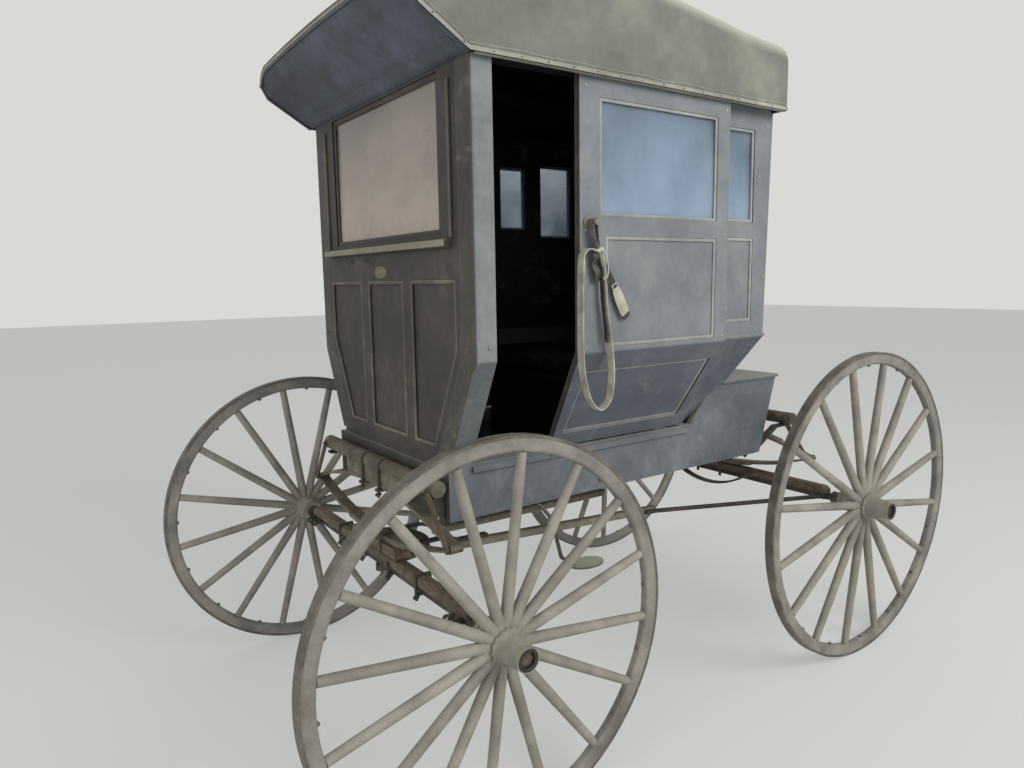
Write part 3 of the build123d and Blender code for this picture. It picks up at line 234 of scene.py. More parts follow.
def old_iron(name, coat, metallic=0.35, top=None):
    """Forged wrought iron under thin old paint: rough scale, light rust and dust."""
    material, tree, shader, place = new_material(name, roughness=0.6, metallic=metallic)
    # scale and pits from 11 mm across down to under 1 mm, and blotches 70 mm across
    pits = add(tree, "TexNoise", {"Vector": place, "Scale": 90.0, "Detail": 6.0, "Roughness": 0.7})
    blotch = add(tree, "TexNoise", {"Vector": place, "Scale": 14.0, "Detail": 5.0, "Roughness": 0.6})
    crust = add(tree, "Mix", {"Factor": 0.4, "A": blotch, "B": pits}, data_type="FLOAT")
    tone = add(tree, "ValToRGB", {"Fac": crust}, ramp=stops(coat, (0.35, 0.52, 0.66)))
    if top:
        # worn pale and dusty where feet tread on it
        trodden = facing(tree, add(tree, "NewGeometry").outputs["Normal"], UP, 0.9, 0.97)
        tone = add(tree, "Mix", {"Factor": trodden, "A": tone, "B": linear(top)}, data_type="RGBA")
    rough = add(tree, "MapRange", {"Value": crust, "To Min": 0.45, "To Max": 0.85})
    bump = add(tree, "Bump", {"Strength": 0.35, "Distance": 0.5 * MM, "Height": pits})
    feed(tree, shader, {"Base Color": tone, "Roughness": rough, "Normal": bump})
    return material


def canvas(name, coat, bleached=None):
    """Painted roof canvas, plain woven duck stretched over bows, chalky with age."""
    material, tree, shader, place = new_material(name, roughness=0.85)
    # clouds a quarter of a metre across, where the paint has chalked
    cloud = add(tree, "TexNoise", {"Vector": place, "Scale": 4.0, "Detail": 6.0, "Roughness": 0.65})
    # threads drawn 4 mm apart, coarser than real duck, so that they show
    weave = {"Vector": place, "Scale": 80.0, "Distortion": 1.0, "Detail": 1.0}
    warp = add(tree, "TexWave", weave, wave_type="BANDS", bands_direction="X").outputs["Fac"]
    weft = add(tree, "TexWave", weave, wave_type="BANDS", bands_direction="Y").outputs["Fac"]
    threads = add(tree, "Math", {0: warp, 1: weft}, operation="MULTIPLY")
    tone = add(tree, "ValToRGB", {"Fac": cloud}, ramp=stops(coat, (0.34, 0.5, 0.66)))
    if bleached:
        # the top is bleached by the sun and holds more dust than the upright sides
        top = facing(tree, add(tree, "NewGeometry").outputs["Normal"], UP, 0.2, 0.85)
        tone = add(tree, "Mix", {"Factor": top, "A": tone, "B": linear(bleached)}, data_type="RGBA")
    bump = add(tree, "Bump", {"Strength": 0.15, "Distance": 0.4 * MM, "Height": threads})
    rolls = {"Strength": 0.4, "Distance": 3.0 * MM, "Height": cloud, "Normal": bump}
    feed(tree, shader, {"Base Color": tone, "Normal": add(tree, "Bump", rolls)})
    return material


def leather(name, coat):
    """Old harness leather, waxed and cracked, with a fine pebble grain."""
    material, tree, shader, place = new_material(name, roughness=0.5)
    # pebbles drawn 2.5 mm across, and wear in patches of a thumb's length
    pebble = add(tree, "TexVoronoi", {"Vector": place, "Scale": 400.0})
    wear = add(tree, "TexNoise", {"Vector": place, "Scale": 22.0, "Detail": 6.0})
    tone = add(tree, "ValToRGB", {"Fac": wear}, ramp=stops(coat, (0.35, 0.52, 0.68)))
    bump = add(tree, "Bump", {"Strength": 0.2, "Distance": 0.4 * MM, "Height": pebble})
    feed(tree, shader, {"Base Color": tone, "Normal": bump})
    return material


def window_glass(name):
    """Drawn sheet glass under a film of dust, the film tinted with painted reflection: warm grey on the
    front light, sky blue on the sides.
    """
    material, tree = blank_material(name)
    place = add(tree, "TexCoord").outputs["Object"]
    normal = add(tree, "NewGeometry").outputs["Normal"]
    ahead = add(tree, "VectorMath", {0: normal}, operation="ABSOLUTE")
    ahead = add(tree, "SeparateXYZ", {"Vector": ahead}).outputs["X"]
    # the film comes in patches 200 mm across and thickens towards the foot of the glass
    height = add(tree, "SeparateXYZ", {"Vector": place}).outputs["Z"]
    low = {"Value": height, "From Min": GLASS_TOP * MM, "From Max": GLASS_FOOT * MM}
    low.update({"To Min": 0.2, "To Max": 0.72})
    low = add(tree, "MapRange", low)
    film = add(tree, "TexNoise", {"Vector": place, "Scale": 5.0, "Detail": 4.0})
    dust = add(tree, "Math", {0: film, 1: low}, operation="MULTIPLY")
    dust = add(tree, "Math", {0: dust, 1: 1.9}, operation="MULTIPLY", use_clamp=True)
    # painted reflection: the film takes sky blue where the pane faces the side and warm grey where it faces
    # forward
    reflection_tint = {"Factor": ahead, "A": linear("b2c6da"), "B": linear("ded0c3")}
    reflection_tint = add(tree, "Mix", reflection_tint, data_type="RGBA")
    # the film is lit from the front and lets some light through from behind
    lit = add(tree, "BsdfDiffuse", {"Color": reflection_tint})
    through = add(tree, "BsdfTranslucent", {"Color": reflection_tint})
    veil = add(tree, "MixShader", {0: 0.3, 1: lit, 2: through})
    clear = add(tree, "BsdfTransparent", {"Color": linear("dfe6ea")})
    gloss = add(tree, "BsdfGlossy", {"Color": linear("ffffff"), "Roughness": 0.05})
    pane = add(tree, "MixShader", {0: add(tree, "Fresnel", {"IOR": 1.5}), 1: clear, 2: gloss})
    whole = add(tree, "MixShader", {0: dust, 1: pane, 2: veil})
    add(tree, "OutputMaterial", {"Surface": whole})
    return material


FINISHES = {}

# near black: painted shade of the cab's inside, of holes and of recesses
SHADE_BLACK = "101010 171717 232220"
# coat of the faces that look forward: painted shade over a browner paint
FRONT_SHADE_COAT = "37342f 47443f 5a564e"
ROUND_GRAIN = (3.0, 3.0, 3.0)
CROSS_GRAIN = (3.0, 1.0, 3.0)


def finish_of(name):
    """The finish of that name, made once."""
    if not FINISHES:
        FINISHES.update(
            side_paint=aged_paint(
                "coach_paint_faded_slate",
                "61676c 747a7f 878b8d",
                front=FRONT_SHADE_COAT,
                inside=SHADE_BLACK,
                # low: painted shade on the boards under the break
                low="474e57 525a64 666c73",
                scuffs=0.24,
            ),
            box_paint=aged_paint("box_paint_faded_slate", "4d545d 60676e 797e81", front=FRONT_SHADE_COAT),
            post_paint=aged_paint(
                "post_paint_slate_and_shaded_olive",
                "646b6c 798182 919694",
                front=FRONT_SHADE_COAT,
                inside=SHADE_BLACK,
                # low: painted shade on the boards under the break
                low="434b4e 596265 6f7677",
            ),
            # the front panel's dark olive: a browner paint, darkened with painted shade because the front
            # stands out of the light
            front_paint=aged_paint(
                "coach_paint_dark_olive_and_painted_shade", "2d2a27 3e3a36 575249", dust="6b6558", inside=SHADE_BLACK
            ),
            # rubbed: share of pale edge, which is wear and also a painted highlight on the rounded beads
            bead_paint=aged_paint("bead_paint_pale_worn_and_highlit", "70767a 8a8f90 a9aba6", rubbed=0.9),
            front_bead=aged_paint("bead_paint_olive_worn_and_highlit", "423f38 57524a 827c6c", rubbed=0.9),
            # sill bead pale: dust on top and a painted highlight of the lit moulding
            sill_bead=aged_paint("window_sill_bead_dusty_and_highlit", "66634f 85826f a29e8b", rubbed=0.9),
            visor_paint=aged_paint(
                "visor_boards_dark_slate", "353940 4a4f58 60677a", dust="6f7686", scuffs=0.15
            ),
            # near-black inside boards, roof and bows: painted shade of the closed cab
            lining=aged_paint("inside_near_black_painted_shade", SHADE_BLACK, dust="2a2826", scuffs=0.2),
            felloe_paint=aged_wood("felloe_ash_faded_drab", "64625b 7d7b75 938f85", ROUND_GRAIN, share=0.25),
            spoke_paint=aged_wood(
                "spoke_hickory_faded_drab",
                "78756d 8a877d 9c988c",
                ROUND_GRAIN,
                share=0.2,
                end_beyond=HUB_Y + NAVE_OUT * MM,
            ),
            gear_wood=aged_wood("gear_ash_weathered_brown", "463b31 625546 857661", CROSS_GRAIN),
            bar_wood=aged_wood("spring_bar_ash_dusty_olive", "453f35 5f594b 837c69", CROSS_GRAIN, share=0.3),
            reach_wood=aged_wood("reach_hickory_dusty", "5d5560 797362 97917d", (1.0, 3.0, 3.0)),
            floor_wood=aged_wood("floor_pine_old_bare", "241f19 3a3229 544a3d"),
            bare_patch=aged_wood("bare_pine_patch", "62594b 786e5d 8f8571", (6.0, 1.0, 6.0)),
            iron=old_iron("wrought_iron_dusty_dark", "2c2925 48443c 6f6656"),
            clip_iron=old_iron("clip_iron_painted_olive", "3a362e 4f4a3e 6d6655", metallic=0.1),
            band_iron=old_iron("nave_band_iron_painted_drab", "6e6b5f 8a887a 9c9886", metallic=0.0),
            spring_iron=old_iron("spring_steel_dusty_taupe", "4c473d 6d6657 8f8874", metallic=0.2),
            step_iron=old_iron("step_iron_trodden", "3d3a34 57524a 756e60", metallic=0.15, top="a9ab93"),
            link_iron=old_iron("link_iron_rusty_brown", "41382d 605341 786850"),
            tyre_iron=old_iron("tyre_iron_rolled_worn", "4f4b45 6e6a62 8a857a", metallic=0.4),
            brass=old_iron("hook_brass_dull_grey", "5f5b4c 7f7a68 9d9883", metallic=0.3),
            # near-white wire: pale zinc, partly a painted highlight
            wire=old_iron("zinc_wire_pale_and_highlit", "a9abab c6c8c8 dcdedd", metallic=0.3),
            roof_canvas=canvas("roof_duck_painted_drab", "686961 777871 8b8b80", bleached="c2c4b4"),
            canvas_edge=canvas("canvas_hem_rubbed", "828379 98998d b4b5a8"),
            leather=leather("bench_leather_black_worn", "14110f 241f1b 3e3630"),
            strap=leather("strap_leather_cream_dry", "9b9a8a b7b5a2 cfcdb9"),
            grey_strap=leather("strap_leather_grey_dry", "4c4b4f 6c6b6f 8d8c8e"),
            dark_strap=leather("strap_leather_dark_dry", "23211e 35322d 4c483f"),
            glass=window_glass("window_glass_dusty_painted_reflection"),
        )
    return FINISHES[name]


CAD_FINISHES = {
    "side_paint": "left_quarter_panel right_quarter_panel rear_panel left_door right_door",
    "box_paint": "sill_boards end_boards boot_lid boot_hinge_strip door_tracks",
    "post_paint": "front_posts",
    "front_paint": "front_panel",
    "visor_paint": "visor_lining",
    "gear_wood": "front_axle_bed rear_axle_bed headblock",
    "bar_wood": "spring_bars",
    "reach_wood": "reaches",
    "floor_wood": "floor_boards",
    "iron": "front_axle_iron rear_axle_iron front_axle_clips fifth_wheel_lower fifth_wheel_upper"
    " shaft_couplings kingpin body_irons reach_irons_and_stays",
    "clip_iron": "spring_clips",
    "spring_iron": "upper_spring_leaves lower_spring_leaves",
    "step_iron": "side_steps",
    "link_iron": "spring_check_links",
    "brass": "left_door_hook",
    "glass": "fixed_glass left_door_glass right_door_glass",
    # the cab's inside pieces are near black: painted shade of the closed cab
    "lining": "roof_canopy cant_rails seat_riser",
    "leather": "seat_cushion seat_back",
    "strap": "left_door_strap",
}
WHEEL_FINISHES = {
    "tyre": "tyre_iron",
    "felloe": "felloe_paint",
    "nave_and_spokes": "spoke_paint",
    "nave_bands": "band_iron",
}


def paint_node(name, finish):
    data = NODES[name].data
    data.materials.clear()
    data.materials.append(finish_of(finish))


class BUGGY_OT_finishes(bpy.types.Operator):
    """Gives each carried piece of the frame the finish of the real one"""

    bl_idname = "buggy.finishes"
    bl_label = "Finishes of the frame"

    def execute(self, context):
        for finish, names in CAD_FINISHES.items():
            for name in names.split():
                paint_node(name, finish)
        for name in NODES:
            for piece, finish in WHEEL_FINISHES.items():
                if name.endswith("_wheel_" + piece):
                    paint_node(name, finish)
        return {"FINISHED"}


# Modelling


def clear_selection():
    if bpy.context.object and bpy.context.object.mode != "OBJECT":
        bpy.ops.object.mode_set(mode="OBJECT")
    bpy.ops.object.select_all(action="DESELECT")


def select_only(piece):
    clear_selection()
    piece.select_set(True)
    bpy.context.view_layer.objects.active = piece


def edit_all(piece, *steps):
    """Runs edit-mode operators, each given with its settings, on the whole of a mesh."""
    select_only(piece)
    bpy.ops.object.mode_set(mode="EDIT")
    bpy.ops.mesh.select_all(action="SELECT")
    for step, settings in steps:
        step(**settings)
    bpy.ops.object.mode_set(mode="OBJECT")


def finish_modifier(piece, kind, **settings):
    """Adds one modifier with its settings and applies it."""
    select_only(piece)
    modifier = piece.modifiers.new(kind.title(), kind)
    for key, value in settings.items():
        setattr(modifier, key, value)
    bpy.ops.object.modifier_apply(modifier=modifier.name)


def ease_edges(piece, width, segments=2):
    """Eases the sharp edges of a piece."""
    limit = math.radians(50)
    finish_modifier(piece, "BEVEL", width=width, segments=segments, limit_method="ANGLE", angle_limit=limit)


def settle(piece, name, finish, body, smooth=35.0):
    """Names a finished piece, gives it its finish and hangs it on its body."""
    select_only(piece)
    bpy.ops.object.transform_apply(location=True, rotation=True, scale=True)
    bpy.ops.object.shade_smooth_by_angle(angle=math.radians(smooth))
    piece.name = name
    piece.data.name = name
    piece.data.materials.clear()
    piece.data.materials.append(finish_of(finish))
    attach(piece, body)
    return piece


def merged(pieces):
    """Joins several finished meshes into one."""
    clear_selection()
    for piece in pieces:
        piece.select_set(True)
    bpy.context.view_layer.objects.active = pieces[0]
    if len(pieces) > 1:
        bpy.ops.object.join()
    return bpy.context.object


def copies(master, places):
    """One copy of a mesh, with data of its own, at each place and direction of its Z."""
    made = []
    for place, direction in places:
        turn = Vector(UP).rotation_difference(Vector(direction)).to_matrix().to_4x4()
        data = master.data.copy()
        data.transform(Matrix.Translation(Vector(place)) @ turn)
        one = bpy.data.objects.new("copy", data)
        bpy.context.scene.collection.objects.link(one)
        made.append(one)
    bpy.data.objects.remove(master)
    return merged(made)


def outline_plate(corners, thick, open_width=None, soft=1.2 * MM):
    """Plate on a flat outline, thick towards its normal, or a frame of one width inside the outline."""
    clear_selection()
    bpy.ops.mesh.primitive_circle_add(vertices=len(corners), fill_type="NGON")
    plate = bpy.context.object
    for vertex, corner in zip(plate.data.vertices, corners):
        vertex.co = corner
    if open_width:
        inset = (bpy.ops.mesh.inset, {"thickness": open_width, "depth": 0})
        edit_all(plate, inset, (bpy.ops.mesh.delete, {"type": "FACE"}))
    finish_modifier(plate, "SOLIDIFY", thickness=thick, offset=1.0)
    if soft:
        ease_edges(plate, soft)
    return plate


def grid(rows, columns, place):
    """Sheet of points, each put where place(row, column) says."""
    clear_selection()
    bpy.ops.mesh.primitive_grid_add(x_subdivisions=rows - 1, y_subdivisions=columns - 1)
    sheet = bpy.context.object
    for vertex in sheet.data.vertices:
        vertex.co = place(vertex.index % rows, vertex.index // rows)
    return sheet


def strip_along(points, width, thick, across=(0, 1, 0), soft=0.6 * MM):
    """Flat band of leather, wood or iron that follows a line, its width along one direction."""
    half = Vector(across) * width / 2
    band = grid(len(points), 2, lambda step, edge: Vector(points[step]) + half * (2 * edge - 1))
    finish_modifier(band, "SOLIDIFY", thickness=thick, offset=0.0)
    if soft:
        ease_edges(band, soft, segments=1)
    return band


def ring_tube(steps, sides, place):
    """Closed tube of points, each put where place(step, side) says, its faces turned outwards."""
    clear_selection()
    bpy.ops.mesh.primitive_torus_add(
        major_segments=steps, minor_segments=sides, major_radius=1, minor_radius=0.1
    )
    tube = bpy.context.object
    for vertex in tube.data.vertices:
        vertex.co = place(vertex.index // sides, vertex.index % sides)
    edit_all(tube, (bpy.ops.mesh.normals_make_consistent, {"inside": False}))
    return tube


def turned_stub(radius, height, sides, soft, segments=1):
    """Short post that stands on the origin, its ends eased."""
    clear_selection()
    bpy.ops.mesh.primitive_cylinder_add(
        vertices=sides, radius=radius, depth=height, location=(0, 0, height / 2)
    )
    stub = bpy.context.object
    bpy.ops.object.transform_apply(location=True)
    ease_edges(stub, soft, segments)
    return stub


def round_head(radius, height, sides=12):
    """Head of a coach bolt or rivet, domed towards Z, its foot at the origin."""
    return turned_stub(radius, height, sides, height * 0.55, segments=2)


def bolt_end(radius, height, stub):
    """Square nut with the bolt's end through it, towards Z."""
    nut = turned_stub(radius * 1.41, height, 4, radius * 0.12)
    return merged([nut, turned_stub(radius * 0.55, height + stub, 10, radius * 0.15)])


def smooth_through(points, steps):
    """Points on a soft line through the given ones."""
    ends = [Vector(points[0]) * 2 - Vector(points[1])] + [Vector(p) for p in points]
    ends.append(Vector(points[-1]) * 2 - Vector(points[-2]))
    out = []
    for a, b, c, d in zip(ends, ends[1:], ends[2:], ends[3:]):
        for i in range(steps):
            t = i / steps
            bend = (2 * a - 5 * b + 4 * c - d) * t**2 + (3 * b - a - 3 * c + d) * t**3
            out.append(0.5 * (2 * b + (c - a) * t + bend))
    out.append(ends[-2])
    return out


def rectangle(a0, a1, b0, b1):
    return [(a0, b0), (a1, b0), (a1, b1), (a0, b1)]


def shrunk(outline, gap=0.3):
    """The same outline drawn in a little on both axes about its middle."""
    middle_a = sum(a for a, _ in outline) / len(outline)
    middle_b = sum(b for _, b in outline) / len(outline)
    return [(a - math.copysign(gap, a - middle_a), b - math.copysign(gap, b - middle_b)) for a, b in outline]


class BuggyTrim(bpy.types.PropertyGroup):
    """Sizes of the trim that is laid on the frame"""

    bead: bpy.props.FloatProperty(
        name="Bead width",
        description="Width of the mouldings in the sunk fields",
        default=10 * MM,
        unit="LENGTH",
    )
    tack_step: bpy.props.FloatProperty(
        name="Tack spacing",
        description="Distance between the tacks of the roof's edge",
        default=84 * MM,
        unit="LENGTH",
    )
    pressure: bpy.props.FloatProperty(
        name="Stuffing", description="Pressure of the stuffing in the bench's leather", default=4.0, min=0.0
    )


# Roof: canvas over the shell, its hem and tacks, and the bows inside

# heights and places in millimetres; X is measured from the front axle
EAVE_Z = 1976.0
ROOF_BACK = -1302.0
VISOR_TIP = 133.0
FRONT_FACE = -50.0
BOW_PLACES = (-130.0, -420.0, -710.0, -1000.0)
# the canvas turned in under the side edge: its middle, and where the visor's raked edge begins
SKIRT_Y, SKIRT_FRONT = 545.4, -42.0
# where the eave rises along the visor, and how far
EAVE_RISE = ((-38.0, 0.0), (108.0, 88.0), (VISOR_TIP, 132.0))
# height in metres from which the roof is looked at, inside the cab
LOOK_Z = 1.7
HEM_STEPS = 84
# how far the middle of the hem and of the welt over it lie above the eave
HEM_UP, WELT_UP = 6.0, 19.0
CANVAS = 1.4 * MM


def eave_height(x):
    """Lower edge of the roof's side in millimetres, which rises along the visor."""
    if x <= EAVE_RISE[0][0]:
        return EAVE_Z
    for (x0, z0), (x1, z1) in zip(EAVE_RISE, EAVE_RISE[1:]):
        if x <= x1:
            return EAVE_Z + z0 + (z1 - z0) * (x - x0) / (x1 - x0)
    return EAVE_Z + EAVE_RISE[-1][1]


def roof_hit(x, angle):
    """Point on the roof's outside on a line up and out from the middle of the cab, and its normal."""
    middle = Vector((from_axle(x), 0, LOOK_Z))
    out = Vector((0, math.sin(angle), math.cos(angle)))
    found, place, normal, _ = NODES["roof_canopy"].ray_cast(middle + out * 2, -out)
    if not found:
        raise RuntimeError(f"no roof at {x:.0f} mm, {math.degrees(angle):.0f} degrees")
    return place, normal


def eave_angle(x, above):
    """Angle at which the roof's side edge lies, a little above it."""
    start = Vector((from_axle(x), 2, (eave_height(x) + above) * MM))
    found, place, _, _ = NODES["roof_canopy"].ray_cast(start, Vector((0, -1, 0)))
    if not found:
        raise RuntimeError(f"no roof edge at {x:.0f} mm")
    return math.atan2(place.y, place.z - LOOK_Z)


def roof_arch(x, above, count):
    """Places and normals on the roof's outside from one eave to the other."""
    reach = eave_angle(x, above)
    return [roof_hit(x, reach * (1 - 2 * i / (count - 1))) for i in range(count)]


def canvas_lift(x):
    """How far the canvas stands off the boards: it rises over each bow."""
    return (0.6 + 1.6 * sum(math.exp(-(((x - bow) / 26.0) ** 2)) for bow in BOW_PLACES)) * MM


def lip_plate(near, deep):
    """Plate on the end of the visor's boards, between two depths in millimetres under the roof's outside."""
    front = from_axle(VISOR_TIP) + 0.4 * MM
    rows = []
    for depth in (near, deep):
        inner = [place - normal * depth * MM for place, normal in roof_arch(VISOR_TIP - 1, 2.0, 49)]
        rows.append([(front, point.y, point.z) for point in inner])
    corners = rows[0] + rows[1][::-1]
    return outline_plate(corners[::-1], 2.2 * MM, soft=0.9 * MM)


def lay_canvas():
    """The canvas over the roof, and the flat piece at the back under the top's edge."""
    rows, columns = 96, 72

    def stretched(row, column):
        x = ROOF_BACK + 1.5 + (VISOR_TIP - ROOF_BACK - 3.0) * row / (rows - 1)
        place, normal = roof_hit(x, eave_angle(x, 1.5) * (2 * column / (columns - 1) - 1))
        return place + normal * canvas_lift(x)

    top = grid(rows, columns, stretched)
    finish_modifier(top, "SOLIDIFY", thickness=CANVAS, offset=1.0)
    settle(top, "roof_canvas_top", "roof_canvas", "buggy_body", smooth=50)

    rear = from_axle(ROOF_BACK) - 0.5 * MM
    outline = [(rear, place.y, place.z) for place, _ in roof_arch(ROOF_BACK + 2, 12.0, 41)]
    back = outline_plate(outline, CANVAS, soft=None)
    settle(back, "roof_canvas_back", "roof_canvas", "buggy_body")


def hem_side(side):
    """Hem along one eave, a thin welt over it, the canvas turned in under the edge, and tack places."""
    hem, welt, under, tacks = [], [], [], []
    for i in range(HEM_STEPS + 1):
        x = ROOF_BACK + 2 + (VISOR_TIP - ROOF_BACK - 4) * i / HEM_STEPS
        pucker = 0.5 * math.sin(1.9 * i) * math.sin(0.37 * i) * MM
        place, normal = roof_hit(x, side * eave_angle(x, HEM_UP))
        hem.append(place + normal * (3.6 * MM + pucker))
        tacks.append((place + normal * 4.8 * MM, normal))
        place, normal = roof_hit(x, side * eave_angle(x, WELT_UP + 1.5 * math.sin(0.5 * i)))
        welt.append(place + normal * 3.0 * MM)
        if x < SKIRT_FRONT:
            under.append(spot(x, side * SKIRT_Y, eave_height(x) - 1.2))
    strips = [
        strip_along(hem, 11 * MM, 2.4 * MM, across=UP, soft=0.9 * MM),
        strip_along(welt, 3 * MM, 2 * MM, across=UP, soft=0.8 * MM),
        strip_along(under, 13 * MM, 1.6 * MM),
    ]
    return strips, tacks


class BUGGY_OT_roof(bpy.types.Operator):
    """Stretches the roof canvas, lays its hem and tacks, and sets the bows inside"""

    bl_idname = "buggy.roof"
    bl_label = "Roof"

    def execute(self, context):
        lay_canvas()
        hems, tacks = [], []
        for side in (1, -1):
            strips, places = hem_side(side)
            hems += strips
            tacks += places
        # the canvas is rolled over the upper edge of the boards at the visor's tip
        hems.append(lip_plate(-1.0, 8.0))
        tip = [place + normal * 3.0 * MM for place, normal in roof_arch(VISOR_TIP - 6, 2.0, 49)]
        hems.append(strip_along(tip, 12 * MM, 1.8 * MM, across=AHEAD, soft=0.8 * MM))
        rear = [spot(ROOF_BACK - 2.9, y, EAVE_Z + 7) for y in range(-550, 551, 50)]
        hems.append(strip_along(rear, 11 * MM, 1.8 * MM, across=UP, soft=0.8 * MM))
        settle(merged(hems), "roof_edge_hem", "canvas_edge", "buggy_body")
        spacing = context.scene.buggy_trim.tack_step / MM
        step = max(1, round(spacing * HEM_STEPS / (VISOR_TIP - ROOF_BACK)))
        head = round_head(2.4 * MM, 1.3 * MM, sides=8)
        settle(copies(head, tacks[::step]), "roof_edge_tacks", "iron", "buggy_body")

        # ash bows under the roof boards, near black with the painted shade of the cab's inside
        bows = []
        for x in BOW_PLACES:
            line = []
            for i in range(25):
                start = Vector((from_axle(x), (-520 + 1040 * i / 24) * MM, 2.0))
                found, place, normal, _ = NODES["roof_canopy"].ray_cast(start, Vector(UP))
                if found:
                    line.append(place + normal * 8.4 * MM)
            bows.append(strip_along(line, 32 * MM, 16 * MM, across=AHEAD, soft=3 * MM))
        settle(merged(bows), "roof_bows", "lining", "buggy_body")
        return {"FINISHED"}


# Underside of the visor

BOARD_BACK, BOARD_TIP = FRONT_FACE + 0.4, VISOR_TIP - 1.2
# where the lath lies, as a share of the boards' length, and the edge strips' middle and points
LATH_SHARE = 0.26
EDGE_STRIP_Y = 545.2
EDGE_PLACES = (-40.0, -38.0, -10.0, 30.0, 70.0, 106.0, 108.0, VISOR_TIP - 1)


def visor_edge(x):
    """Height of the boards' side edge, and how far out it reaches, in metres."""
    height = (eave_height(x) + 3.0) * MM
    found, place, _, _ = NODES["roof_canopy"].ray_cast(Vector((from_axle(x), 0, height)), Vector((0, 1, 0)))
    return height, (place.y if found else 0.538) - 0.4 * MM


def visor_rises(columns):
    """How far the boards' front edge rises under the roof's lip, from one side to the other."""
    height, half = visor_edge(BOARD_TIP)
    rises = []
    for column in range(columns):
        y = half * 0.998 * (2 * column / (columns - 1) - 1)
        start = Vector((from_axle(BOARD_TIP), y, height - 0.02))
        found, place, _, _ = NODES["roof_canopy"].ray_cast(start, Vector(UP))
        rises.append(max(place.z - 5.6 * MM - height, 0) if found else 0)
    return rises


class BUGGY_OT_visor(bpy.types.Operator):
    """Boards the underside of the visor, straight at the front panel and arched at the roof's lip"""

    bl_idname = "buggy.visor"
    bl_label = "Visor"

    def execute(self, context):
        rows, columns = 17, 61
        rises = visor_rises(columns)

        def under_roof(share, column, reach=1.0, drop=0.0):
            x = BOARD_BACK + (BOARD_TIP - BOARD_BACK) * share
            height, half = visor_edge(x)
            y = half * reach * (2 * column / (columns - 1) - 1)
            return from_axle(x), y, height + rises[column] * share - drop

        boards = grid(rows, columns, lambda row, column: under_roof(row / (rows - 1), column))
        finish_modifier(boards, "SOLIDIFY", thickness=5 * MM, offset=1.0)
        # lath over the joint of the boards
        lath = [under_roof(LATH_SHARE, column, 0.985, 1.0 * MM) for column in range(columns)]
        pieces = [boards, strip_along(lath, 13 * MM, 3 * MM, across=(0.85, 0, 0.53)), lip_plate(8.3, 21.0)]
        # edge strips along the raked sides, under the ends of the roof boards
        for side in (1, -1):
            edge = [spot(x, side * EDGE_STRIP_Y, eave_height(x) - 1.3) for x in EDGE_PLACES]
            pieces.append(strip_along(edge, 13 * MM, 1.8 * MM))
        boards = merged(pieces)
        settle(boards, "visor_boards", "visor_paint", "buggy_body", smooth=40)
        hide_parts("visor_lining")
        return {"FINISHED"}


# Front panel: Y and Z in millimetres

FIELD_DEEP = 8.0
MIDDLE_FIELD = (-128, 128, 944.0, 1428.0)
LEFT_FIELD = [(172, 944.0), (301.2, 944.0), (439, 1231.2), (439, 1428.0), (172, 1428.0)]
FRONT_LIGHT = (-366, 366, 1548, 1972)
SASH_X = -61.4
# outer stops of the front glass, and the sill's bead with how far its back stands out
STOP_EDGES, STOP_ENDS = (422, 434), (1537, 1942)
SILL_BEAD = (-424, 424, 1515, 1533)
SILL_OUT = 22.3
# beads and plates stand this far off the board behind them
OFF = 0.3
# middle, half width and half height of the bare oval and of the two fixing holes over it
BARE_OVAL = (-22, 1454, 42, 19)
FIXING_HOLES = ((-239, 1494, 15, 7), (-124, 1493, 15, 7))
# bolts through the posts, above and below the break
POST_BOLTS = ((494, 1243), (476, 1183))
POST_SIDE_BOLT = (-94, 532.2, 1248)


def front_corners(outline, x):
    """Corners on the front, in the order that turns the plate's normal forward."""
    return [spot(x, y, z) for y, z in outline]


def oval(y, z, wide, tall):
    turns = [2 * math.pi * i / 28 for i in range(28)]
    return [(y + wide * math.cos(t), z + tall * math.sin(t)) for t in turns]


